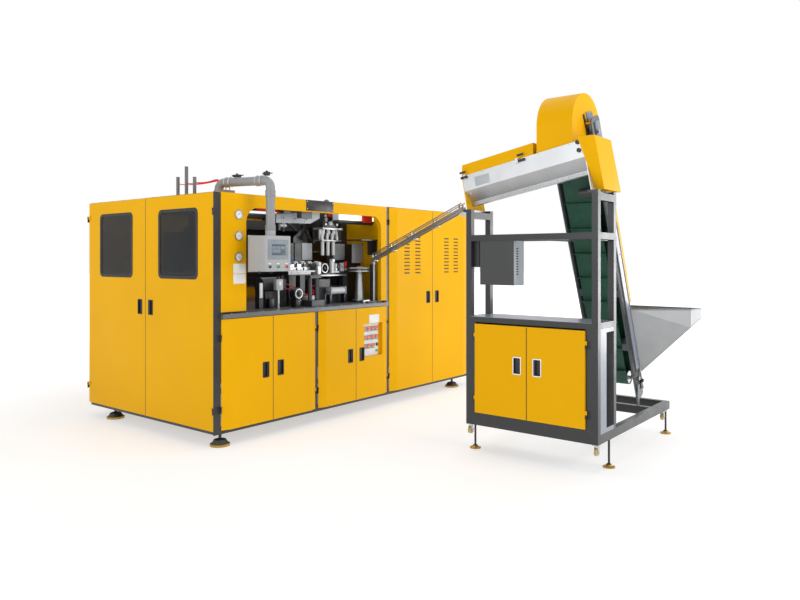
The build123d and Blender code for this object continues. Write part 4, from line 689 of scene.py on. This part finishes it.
# Screws along the table's edge, the posts, the beam and the bay's left sheet
POST_FACE = -50
POST_HEAD = [(0, 6), (1.6, 6), (2.6, 3.5)]
trim = Piece("frame_trim", "machine", steel, black, dark)
for x in range(60, 1960, 158):
    trim.bolt((x, -68, TABLE_TOP), UP, 4.0)
trim.heads((-65,), POST_FACE, (240, 700, 1160, 1620, 1900), POST_HEAD, 1, 16)
trim.heads((2016,), POST_FACE, (1120, 1420, 1720, 1940), POST_HEAD, 1, 16)
trim.bolts((250, 660, 1420, 1800, 1960), SHEET_FACE, (1968,), 3.4)
trim.bolts((0, 60, 190), SHEET_FACE, (1070,), 3.0)
trim.done("platen_steel")

# Bay: light bar with a dark prism under it as painted shade of its underside, its glowing front,
# and the duct behind the beam
BAR_NEAR, BAR_FAR, BAR_LOW = 110, 190, 1840
DUCT_NEAR, DUCT_DEEP = 130, 62
bay_light = Piece("bay_light_bar", "machine", pale, dark, silver_and_sheen, scarlet, plate_black, bay_tube)
bay_light.slab(1470, 1993, BAR_NEAR, BAR_FAR, BAR_LOW, 1912, 0, 6)
bay_light.slab(1477, 1986, BAR_NEAR - 2, BAR_NEAR + 1, 1847, 1905, 5, 1)
# Dark prism under the bar: painted shade of the bar's underside
bar_underside_shade = (
    (BAR_FAR, BAR_LOW + 0.5), (BAR_NEAR, BAR_LOW + 0.5), (BAR_NEAR + 6, 1822),
    (BAR_NEAR + 24, 1809), (BAR_FAR - 24, 1809), (BAR_FAR - 6, 1822),
)
bay_light.prism([(1472, y, z) for y, z in bar_underside_shade], (520, 0, 0), 1)
bay_light.slab(1800, 1946, 88, 112, 1830, 1902, 3, 5)
duct = ((700, 1786), (1117, 1794), (1236, 1848), (1236, 1909), (1117, 1897), (700, 1862))
bay_light.prism([(x, DUCT_NEAR, z) for x, z in duct], (0, DUCT_DEEP, 0), 2)
for x in (760, 900, 1040):
    bay_light.slab(x, x + 7, DUCT_NEAR - 2.5, 194, 1787, 1880, 2, 1)
    bay_light.bolt((x + 24, DUCT_NEAR, 1830), FRONT, 4, 1)

# Bay: cable tray with its red block, and the small cylinder that hangs behind the duct
DROP_X, DROP_Y, DROP_TOP, DROP_WAIST = 846, 205, 1822, 1752
bay_light.slab(250, 820, 70, 128, 1876, 1930, 4, 3)
bay_light.slab(415, 655, 52, 70.5, 1870, 1896, 3, 5)
bay_light.slab(800, 930, 193, 240, DROP_TOP, 1904, 2, 4)
bay_light.slab(770, 800, 186, 214, 1725, DROP_TOP, 4, 3)
for top, bottom, radius, finish in ((DROP_TOP, DROP_WAIST, 22, 2), (DROP_WAIST, 1712, 13, 4)):
    bay_light.rod((DROP_X, DROP_Y, top), (DROP_X, DROP_Y, bottom), radius, finish, 2)
bay_light.slab(800, 880, 190, 226, 1760, 1776, 0, 2)
bay_light.done("light_paint")

# Bay: folded shield plates with their screws, and the open gusset over the slide
SHIELD_LOW, SHIELD_TOP, GUSSET_NEAR, GUSSET_DEEP = 1456, 1620, 422, 7
shields = Piece("shield_plates", "machine", silver_and_sheen, steel, finishes["black_paint"])
for x0, x1, near in ((1266, 1399, 396), (1703, 1866, 396), (1824, 1984, 246)):
    shields.slab(x0, x1, near, near + 4, SHIELD_LOW, SHIELD_TOP, 0, 1.2)
    for x in (x0, x1 - 3):
        shields.slab(x, x + 3, near + 3, near + 14, SHIELD_LOW, SHIELD_TOP, 0, 0.8)
    shields.bolts((x0 + 14, x1 - 14), near, (SHIELD_LOW + 14, SHIELD_TOP - 14), 3, 1)
shields.slab(1824, 1984, 249.5, 262, 1425, 1462)
shields.slab(1857, 1945, 440, 500, TABLE_TOP, 1838, 2, 3)
for outline in (
    ((1176, 1622), (1176, 1668), (1421, 1862), (1495, 1862), (1495, 1826), (1438, 1826)),
    ((1176, 1622), (1240, 1664), (1300, 1640), (1300, 1622)),
    ((1330, 1745), (1352, 1762), (1436, 1640), (1408, 1640)),
    ((1438, 1826), (1495, 1826), (1495, 1622), (1438, 1622)),
):
    shields.prism([(x, GUSSET_NEAR, z) for x, z in outline], (0, GUSSET_DEEP, 0), 2)
shields.done("dark_paint")

# Head: housing over the press cylinders, with its ports and fittings
HOUSING_FACE = 226
head_kit = Piece("head_housing", "machine", plate_black, steel, scarlet, pale)
head_kit.slab(1376, 1586, HOUSING_FACE, 262, 1772, 1918, 0, 4)
for x, z, radius, finish in (
    (1402, 1880, 15, 1), (1556, 1880, 15, 1), (1402, 1802, 12, 1), (1556, 1802, 12, 1),
    (1470, 1812, 20, 3),
):
    head_kit.rod((x, HOUSING_FACE + 1, z), (x, HOUSING_FACE - 18, z), radius, finish, 2)
for x0, x1, near, z0, z1, finish, edge in (
    (1440, 1492, 214, 1876, 1912, 2, 4), (1392, 1424, 206, 1826, 1862, 1, 3),
    (1500, 1572, 200, 1822, 1846, 3, 3),
):
    head_kit.slab(x0, x1, near, HOUSING_FACE + 1, z0, z1, finish, edge)
head_kit.slab(1372, 1590, 218, 234, 1752, 1770, 1, 2)
head_kit.done("platen_steel")

# Press plate: pale fittings on top, bars along its front, and the stretch rods' sleeves
PLATE_TOP, SLEEVE_LOW = 1652.2, 1502
press_kit = Piece("press_blocks", "press", pale, steel, plate_black)
for x in (1395, 1462, 1530, 1598):
    press_kit.turned((x, 254, PLATE_TOP), UP, [
        (0, 13), (2, 14), (34, 14), (36, 10), (58, 10), (60, 7), (66, 7),
    ], 0, 20)
press_kit.slab(1388, 1612, 250, 262, PLATE_TOP, 1664, 2, 2)
press_kit.slab(1384, 1656, 246, 249.5, 1640, 1652, 1, 1)
for x in (1445, 1520, 1595):
    press_kit.turned((x, 300, SLEEVE_LOW), UP, [
        (0, 13), (3, 16.5), (120, 16.5), (122, 19), (136, 19), (137, 16),
    ], 0, 24)
press_kit.done("platen_steel")

# Carriage: pale caps over the grippers and a blue one at the end
GRIPPERS, GRIPPER_PITCH, CARRIAGE_LEFT = 4, 90, 1060
caps = Piece("gripper_caps", "carriage", pale, plate_black, blue_cap, steel)
for i in range(GRIPPERS):
    x = CARRIAGE_LEFT + GRIPPER_PITCH * i
    caps.turned((x, 272, 1432.2), UP, [(0, 19), (1.5, 21), (8, 21), (12, 17), (13.5, 9)], 0, 24)
    caps.slab(x + 27, x + 43, 288, 293.2, 1352, 1384, 1, 2)
    caps.bolt((x, 293, 1366), FRONT, 4.5, 3)
caps.turned((CARRIAGE_LEFT, 340, 1434.2), UP,
            [(0, 24), (2, 27), (26, 27), (36, 20), (41, 8)], 2, 28)
caps.done("platen_steel")

# Transfer bed's front: pale rail, hand wheel, clamps and their feet
BED_FACE = 250
bed_kit = Piece("bed_front_kit", "machine", pale, steel, plate_black, scarlet, silver_and_sheen)
bed_kit.slab(948, 1293, BED_FACE - 8, BED_FACE, 1322, 1360, 0, 3)
bed_kit.bolts((985, 1070, 1170, 1260), BED_FACE - 8, (1341,), 4, 1)
wheel = Vector((1402, BED_FACE, 1378))
bed_kit.turned(wheel, FRONT, [
    (0, 22), (6, 22), (7, 50), (10, 56), (22, 56), (26, 50), (20, 42), (18, 20), (30, 18),
    (33, 12),
], 2, 40)
bed_kit.turned(wheel + 24 * FRONT, FRONT, [(0, 45), (2, 45), (2.4, 38), (0, 37)], 1, 40)
for x0, x1, z0, z1, finish in (
    (1300, 1346, 1322, 1404, 1), (1490, 1532, 1330, 1452, 0), (1544, 1572, 1345, 1424, 1),
    (1536, 1600, 1330, 1350, 0), (1618, 1668, 1345, 1428, 4), (1684, 1706, 1380, 1442, 3),
    (1300, 1712, 1300, 1316, 1),
):
    bed_kit.slab(x0, x1, BED_FACE - 30, BED_FACE, z0, z1, finish, 4)
for x, z, radius, finish in (
    (1323, 1420, 20, 0), (1511, 1452, 17, 1), (1586, 1392, 24, 2), (1643, 1400, 19, 1),
    (1643, 1400, 8, 2), (1695, 1362, 12, 1),
):
    bed_kit.rod((x, BED_FACE + 2, z), (x, BED_FACE - 38, z), radius, finish, 3)
bed_kit.done("platen_steel")

# Star: pale face ring with a red inner ring over the pockets
star_kit = Piece("star_rings", "star", pale, scarlet, steel)
hub = Vector((1825, 155, 1378))
for profile, finish in (
    ([(0.2, 90), (4, 90), (5.5, 87), (5.5, 66), (0.2, 65)], 0),
    ([(0.2, 60), (6, 60), (7.5, 57), (7.5, 44), (0.2, 43)], 1),
):
    star_kit.turned(hub, UP, profile, finish, 48)
for seat in bolt_circle(hub, 99, 8, 22.5):
    star_kit.bolt(seat, UP, 4, 2)
star_kit.done("star_plastic")

# Table: stop cylinder on its feet, distributor, motor face, regulator and dosing block
STOP_Y, STOP_Z = 205, 1158
table_kit = Piece("table_units", "machine", pale, steel, plate_black, scarlet, silver_and_sheen)
table_kit.rod((1436, STOP_Y, STOP_Z), (1642, STOP_Y, STOP_Z), 33, 0, 3, 32)
for x0, x1 in ((1430, 1446), (1632, 1648)):
    table_kit.slab(x0, x1, STOP_Y - 37, STOP_Y + 37, 1122, 1196, 4, 4)
    table_kit.slab(x0 - 6, x1 + 6, STOP_Y - 25, STOP_Y + 25, TABLE_TOP, 1123, 2, 2)
table_kit.rod((1410, STOP_Y, STOP_Z), (1430, STOP_Y, STOP_Z), 10, 1)
table_kit.slab(1068, 1222, 132, 190, TABLE_TOP, 1126, 0, 3)
table_kit.slab(1072, 1100, 128, 133, 1095, 1120, 1)
motor = Vector((906, 132, 1157))
table_kit.turned(motor, FRONT, [
    (0, 48), (2, 52), (58, 52), (60, 55), (70, 55), (72, 48), (72.5, 22), (84, 18), (86, 10),
], 2, 40)
table_kit.turned(motor + 71 * FRONT, FRONT, [(0, 44), (2.4, 44), (2.6, 37), (0, 36)], 1, 40)
table_kit.slab(872, 940, 66, 130, TABLE_TOP, 1112, 2, 3)
table_kit.slab(690, 768, 116, 156, 1192, 1288, 4, 5)
for z0, z1, radius, finish, ease in (
    (1287, 1312, 16, 2, 3), (1286, 1292, 20, 3, 2), (TABLE_TOP, 1193, 11, 1, 0.6),
):
    table_kit.rod((729, 136, z0), (729, 136, z1), radius, finish, ease)
table_kit.turned((729, 117, 1250), FRONT, [(0, 19), (4, 19), (5, 16)], 0, 28)
table_kit.slab(556, 590, 181.5, 185, 1128, 1258)
table_kit.slab(640, 700, 150, 190, TABLE_TOP, 1120, 2, 4)

# Table: foot plate and bright upright angle of the chute's stand
ANGLE_X, ANGLE_TOP, FOOT_TOP = 1843, 1440, 1062
table_kit.slab(1722, 1988, 12, 52, TABLE_TOP, FOOT_TOP, 1, 2)
table_kit.slab(ANGLE_X, ANGLE_X + 15, -14, -8, FOOT_TOP, ANGLE_TOP, 4, 1)
table_kit.slab(ANGLE_X, ANGLE_X + 6, -9, 4, FOOT_TOP, ANGLE_TOP, 4, 1)
table_kit.done("platen_steel")

# Castors: tan tyres with hub nuts between the forks
AXLE_HEIGHT, HALF_TYRE, NUT_SEAT = 154, 11.4, 17.8
tyres = Piece("caster_tyres", "machine", tyre_tan, zinc)
for x in (1125, 2490):
    for y in (-2625.5, -1613.5):
        tyres.turned((x, y - HALF_TYRE, AXLE_HEIGHT), -FRONT, [
            (0, 12), (0, 19), (0.5, 24), (2, 27.2), (6, 27.8), (16.8, 27.8), (20.8, 27.2),
            (22.3, 24), (22.8, 19), (22.8, 12),
        ], 0, 32)
        for side in (-1, 1):
            tyres.turned((x, y + side * NUT_SEAT, AXLE_HEIGHT), -side * FRONT,
                         [(0, 7), (2, 7), (3.4, 4)], 1, 6)
tyres.done("caster_plastic")


# Trough: hinge covers, knobs, screws, a bare plate and the ribbed rail below
def along_trough(piece):
    """Local x runs up the trough, y square to it, and z out of its outer wall."""
    uphill = (0, -math.cos(TROUGH_SLOPE), math.sin(TROUGH_SLOPE))
    return piece.at((TROUGH_WALL, -1533, 1986), uphill, LEFT)


HINGE_MIDDLES, HALF_HINGE = (44, 552), 27
hinge_covers = along_trough(Piece("hood_hinge_covers", "hood", seal_and_shade))
fittings = along_trough(Piece("trough_fittings", "machine", plate_black, steel, silver_and_sheen, seal_and_shade))
for up in (110, 52):
    fittings.turned((994, up, -0.5), OUTWARD, [(0, 15), (11, 15), (13, 13), (14, 9)], 0, 28)
for middle in HINGE_MIDDLES:
    hinge_covers.slab(middle - HALF_HINGE, middle + HALF_HINGE, 136, 152, 13.4, 17.0, 0, 1.2)
    fittings.slab(middle - HALF_HINGE, middle + HALF_HINGE, 96, 113, -0.2, 15, 3, 1.5)
for along, up in ((930, 112), (690, 112), (450, 112), (210, 112), (80, -30)):
    fittings.turned((along, up, -0.3), OUTWARD, [(0, 5), (1.6, 5), (2.6, 3)], 1, 14)
fittings.slab(132, 262, 14, 86, -0.2, 0.9, 2, 0.4)
for up in (-90, -97, -104):
    fittings.slab(8, 1000, up - 1.2, up + 1.2, -82.2, -81.4, 0, 0.3)
fittings.slab(8, 1000, -112.5, -110.0, -83, -80.6, 0, 0.6)
hinge_covers.done("black_plastic")
fittings.done("black_plastic")

# Dome: slanted bar with a black strip beside it on the near face, painted shadow of the bar's
# inner flange
BAR_DEEP, SHADOW_DEEP = 7, 4
dome_kit = Piece("dome_bar", "machine", channel_blue, seal_and_shade, steel)
for outline, deep, finish in (
    (((1347, 2527), (1453, 2552), (1563, 2376), (1435, 2359)), BAR_DEEP, 0),
    # Black strip: painted shadow of the inner flange
    (((1295, 2497), (1320, 2512), (1404, 2366), (1382, 2351)), SHADOW_DEEP, 1),
):
    dome_kit.prism([(x, DOME_FACE + 0.3, z) for x, z in outline], (0, -deep, 0), finish)
for x, z in ((1392, 2516), (1432, 2526), (1470, 2392), (1518, 2398)):
    dome_kit.bolt((x, DOME_FACE + 0.3 - BAR_DEEP, z), FRONT, 4, 2)
dome_kit.done("plate_grey")

# Elevator: channel on the near side plate, flat black strips beside it as painted shadow of its
# inner flange, and the tensioner;
# local x runs up the belt, y towards its upper run, and z out of the plate
TENSIONER = -46
channel = Piece("elevator_channel", "machine", channel_blue, seal_and_shade, steel)
channel.at((2259, -2500, 492), (-math.sin(ELEVATOR_LEAN), 0, math.cos(ELEVATOR_LEAN)), FRONT)
for x0, x1, y0, y1, z0, z1, finish, edge in (
    (70, 1960, -75, -71, -9, 7, 0, 1.0), (70, 1960, -72, 8, -0.2, 3.2, 0, 1.0),
    # Black strips at y 12 to 74 and 14 to 40: painted shadow of the inner flange
    (70, 1960, 8, 12, -0.2, 9, 0, 1.0), (70, 1960, 12, 74, -0.2, 2.0, 1, 0.6),
    (1985, 2150, -72, 14, -0.2, 3.2, 0, 1.0), (1985, 2150, 14, 40, -0.2, 2.0, 1, 0.6),
    (-120, 66, -70, 70, -0.2, 2.6, 1, 1.0), (-112, -64, -62, -30, 2, 12, 2, 2),
):
    channel.slab(x0, x1, y0, y1, z0, z1, finish, edge)
for along in (160, 620, 1080, 1540, 1900):
    channel.bolt((along, -50, 3.0), OUTWARD, 5, 2)
channel.turned((TENSIONER, TENSIONER, 2), OUTWARD,
               [(0, 22), (10, 22), (12, 14), (24, 14), (26, 9)], 1, 24)
channel.rod((-120, TENSIONER, 14), (60, TENSIONER, 14), 6, 2)
channel.done("plate_grey")

# Control box: silver skin on its side as painted reflection, with a column of black slots as
# painted shade of the vent openings
BOX_FACE = -2000
SLOTS, FIRST_SLOT, SLOT_PITCH, SLOT_HIGH = 11, 1350, 19, 9
box_kit = Piece("control_box_side", "machine", silver_and_sheen, seal_and_shade, steel)
# Silver skin: painted reflection on the lit side of the dark box
box_kit.slab(1102, 1251, BOX_FACE - 2.2, BOX_FACE, 1275, 1602, 0, 0.8)
# Black slots: painted shade of the vent openings
for row in range(SLOTS):
    z = FIRST_SLOT + SLOT_PITCH * row
    box_kit.slab(1136, 1166, BOX_FACE - 2.9, BOX_FACE - 1.8, z, z + SLOT_HIGH, 1, 0.2)
box_kit.bolts((1112, 1241), BOX_FACE - 2.2, (1286, 1591), 3, 2)
box_kit.done("cabinet_grey")

# Hopper: rolled rims and the folded seams between its panels
NEAR_LIP, FAR_LIP = -2910, -2025
LIP_X, SIDE_X, MOUTH_X, THROAT_X = 2575, 2388, 2092, 2340
RIM_TOP, SIDE_FOOT, LIP_FOOT, THROAT_Z = 1062, 919, 983, 540
seams = Piece("hopper_rims", "machine", channel_blue, zinc)
for lip_y, side_y, mouth_y in ((NEAR_LIP, -2880, -2503), (FAR_LIP, -2055, -2147)):
    side_top, lip_top = (SIDE_X, side_y, RIM_TOP), (LIP_X, lip_y, RIM_TOP)
    side_foot, lip_foot = (SIDE_X, side_y, SIDE_FOOT), (LIP_X, lip_y, LIP_FOOT)
    throat = (THROAT_X, mouth_y, THROAT_Z)
    for start, end, radius, finish in (
        ((MOUTH_X, mouth_y, RIM_TOP), side_top, 5, 0), (side_top, lip_top, 5, 0),
        (side_top, side_foot, 2.4, 1), (throat, side_foot, 3.0, 1), (throat, lip_foot, 3.0, 1),
        (side_foot, lip_foot, 3.0, 1),
    ):
        seams.rod(start, end, radius, finish)
seams.rod((LIP_X, NEAR_LIP, RIM_TOP), (LIP_X, FAR_LIP, RIM_TOP), 5, 0)
seams.rod((LIP_X, NEAR_LIP, LIP_FOOT), (LIP_X, FAR_LIP, LIP_FOOT), 3.0, 1)
seams.done("silver_sheet")

# Loader cabinet: black sheet over half of the side between the posts, painted shade of the gap
# there
side_shade = Piece("loader_side_painted_shade", "machine", painted_shade_black)
# Black sheet: painted shade between the posts
side_shade.slab(1242, 1372, -2649.0, -2646.0, 300, 960)
side_shade.done("dark_paint")

# Doors: black caps over the moving hinge halves
CAP_FOOT, CAP_LENGTH, CAP_RADIUS = 28.2, 26.6, 7.3
LOW_HINGES, TALL_HINGES, FRONT_PIN, END_PIN = (262, 822), (262, 1808), -60.5, -108
for body, x, y, hinges in (
    ("door_1", -36, FRONT_PIN, LOW_HINGES),
    ("door_2", 1000, FRONT_PIN, LOW_HINGES),
    ("door_3", 1024, FRONT_PIN, LOW_HINGES),
    ("door_4", 2004, FRONT_PIN, LOW_HINGES),
    ("left_cabinet_door", 2028, FRONT_PIN, TALL_HINGES),
    ("right_cabinet_door", 3476, FRONT_PIN, TALL_HINGES),
    ("front_end_door", END_PIN, -53, TALL_HINGES),
    ("rear_end_door", END_PIN, 1833, TALL_HINGES),
):
    hinge_caps = Piece("hinge_caps_" + body, body, seal_and_shade)
    for z in hinges:
        foot = z + CAP_FOOT
        hinge_caps.rod((x, y, foot), (x, y, foot + CAP_LENGTH), CAP_RADIUS)
    hinge_caps.done("black_plastic")


# Doors: black strips on the door faces where two doors meet, painted shade of the gap between them
def door_gap_shade(body, x, y, z):
    """A black strip of painted gap shade on the door of this body; x, y and z are its two ends in
    each direction.
    """
    strip = Piece("gap_shade_strip_" + body, body, seal_and_shade)
    strip.slab(*x, *y, *z, 0, 0.3)
    strip.done("black_plastic")


def skin(face):
    """A thin layer that lies on a door's outer face and reaches a little into it."""
    return face - 0.8, face + 0.2


DOOR_FOOT, LOW_DOOR_TOP, TALL_DOOR_TOP = 134, 991, 1981
for body, edge, top in (
    ("door_1", 481, LOW_DOOR_TOP), ("door_3", 1513, LOW_DOOR_TOP),
    ("left_cabinet_door", 2751, TALL_DOOR_TOP),
):
    door_gap_shade(body, (edge - 4.5, edge + 0.2), skin(DOOR_FACE), (DOOR_FOOT, top))
door_gap_shade("front_end_door", skin(END_FACE), (884.5, 889.2), (DOOR_FOOT, TALL_DOOR_TOP))
door_gap_shade("left_loader_door", skin(LOADER_FACE), (-2118.7, -2114.0), (309, 973))

# Bare white label above the meters
door_label = Piece("door_label", "door_4", white, steel)
door_label.slab(1700, 1846, DOOR_FACE - 1.6, DOOR_FACE + 0.2, 842, 924, 0, 0.8)
door_label.heads((1708, 1838), DOOR_FACE - 1.6, (850, 916), PLATE_PIN, 1, 10)
door_label.done("white_plastic")

# Air hoses: smooth curves on the routes of the CAD hoses, three on the roof and two in the bay
hose_routes = [
    [(215, y, 2130), (x, y, 2130), (x, 380, 2168), (x, 380, 2059)]
    for x, y in ((312, 613), (352, 731), (392, 857))
]
for drop, aside in ((0, 0), (44, 22)):
    hose_routes.append([
        (885, 240 - aside, 1240 - drop), (976, 240 - aside, 1240 - drop),
        (1070, 162 - aside, 1130 - drop), (1230, 175 - aside, 1150 - drop),
        (1246, 290 + aside, 1210 - drop), (1350, 290 + aside, 1210 - drop),
    ])
HOSE_RADIUS = 4
hose_curve = bpy.data.curves.new("air_hoses_smooth", "CURVE")
hose_curve.dimensions = "3D"
hose_curve.bevel_depth = HOSE_RADIUS * MM
hose_curve.bevel_resolution = 4
hose_curve.resolution_u = 12
hose_curve.use_fill_caps = True
for route in hose_routes:
    spline = hose_curve.splines.new("NURBS")
    spline.points.add(len(route) - 1)
    for point, place in zip(spline.points, route):
        point.co = (*(Vector(place) * MM), 1)
    spline.order_u = 3
    spline.use_endpoint_u = True
hose_curve.materials.append(finishes["red_hose"])
hoses = bpy.data.objects.new("air_hoses_smooth", hose_curve)
bpy.context.scene.collection.objects.link(hoses)
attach(hoses, "machine")
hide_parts("air_hoses")

# Stage: a plain pale floor that brightens to white away from the machine
HALF_FLOOR, SHADE_MIDDLE, SHADE_END, WHITE_START = 60.0, (1.7, -0.4, 0), 3.2, 9.0
floor_mesh = bpy.data.meshes.new("floor")
floor_mesh.from_pydata(
    [(-HALF_FLOOR, -HALF_FLOOR, 0), (HALF_FLOOR, -HALF_FLOOR, 0),
     (HALF_FLOOR, HALF_FLOOR, 0), (-HALF_FLOOR, HALF_FLOOR, 0)],
    [], [(0, 1, 2, 3)],
)
floor = bpy.data.objects.new("floor", floor_mesh)
bpy.context.scene.collection.objects.link(floor)
ground = Surface("floor_white")
away = ground.add(
    "ShaderNodeVectorMath", {0: ground.place, 1: SHADE_MIDDLE}, operation="DISTANCE"
)
whiteness = ground.span(away.outputs["Value"], SHADE_END, WHITE_START, 0.52, 1.0)
cloud = ground.span(ground.noise(0.8, 2.0), 0.3, 0.7, 0.0, 1.0)
ground.set("Base Color", ground.blend(cloud, (0.55, 0.55, 0.55, 1), (0.57, 0.57, 0.57, 1)))
ground.set("Roughness", 0.7)
ground.set("Emission Color", (1, 1, 1, 1))
ground.set("Emission Strength", whiteness)
floor_mesh.materials.append(ground.material)

# Surroundings: white to the camera, in reflections and through glass, soft to the surfaces
SOFT_LIGHT, WHITE_LIGHT = 0.45, 1.0
world = bpy.data.worlds.new("studio")
bpy.context.scene.world = world
world.use_nodes = True
tree = world.node_tree
tree.nodes.clear()
output = tree.nodes.new("ShaderNodeOutputWorld")
mixer = tree.nodes.new("ShaderNodeMixShader")
rays = tree.nodes.new("ShaderNodeLightPath")
backgrounds = []
for strength in (SOFT_LIGHT, WHITE_LIGHT):
    background = tree.nodes.new("ShaderNodeBackground")
    background.inputs["Color"].default_value = (1, 1, 1, 1)
    background.inputs["Strength"].default_value = strength
    backgrounds.append(background)
camera_or_glossy, any_ray = (tree.nodes.new("ShaderNodeMath") for _ in range(2))
camera_or_glossy.operation = any_ray.operation = "MAXIMUM"
for start, end in (
    (rays.outputs["Is Camera Ray"], camera_or_glossy.inputs[0]),
    (rays.outputs["Is Glossy Ray"], camera_or_glossy.inputs[1]),
    (camera_or_glossy.outputs[0], any_ray.inputs[0]),
    (rays.outputs["Is Transmission Ray"], any_ray.inputs[1]),
    (any_ray.outputs[0], mixer.inputs["Fac"]),
    (backgrounds[0].outputs[0], mixer.inputs[1]),
    (backgrounds[1].outputs[0], mixer.inputs[2]),
    (mixer.outputs[0], output.inputs["Surface"]),
):
    tree.links.new(start, end)


def lamp(name, place, target, size, power):
    """A rectangular area lamp in metres and watts, turned to its target."""
    light = bpy.data.lights.new(name, "AREA")
    light.shape = "RECTANGLE"
    light.size, light.size_y = size
    light.energy = power
    obj = bpy.data.objects.new(name, light)
    obj.location = place
    obj.rotation_euler = (Vector(target) - Vector(place)).to_track_quat("-Z", "Y").to_euler()
    bpy.context.scene.collection.objects.link(obj)


lamp("key_light", (2.6, -9.5, 4.6), (1.8, -0.5, 1.0), (6, 4), 300)
lamp("fill_light", (-7.0, -1.0, 3.6), (0.5, 0.5, 1.0), (5, 4), 130)
lamp("top_light", (1.8, -0.8, 7.5), (1.8, -0.8, 0.0), (6, 6), 140)
lamp("side_light", (6.6, -4.4, 1.3), (1.8, -2.6, 1.0), (1.8, 2.4), 70)
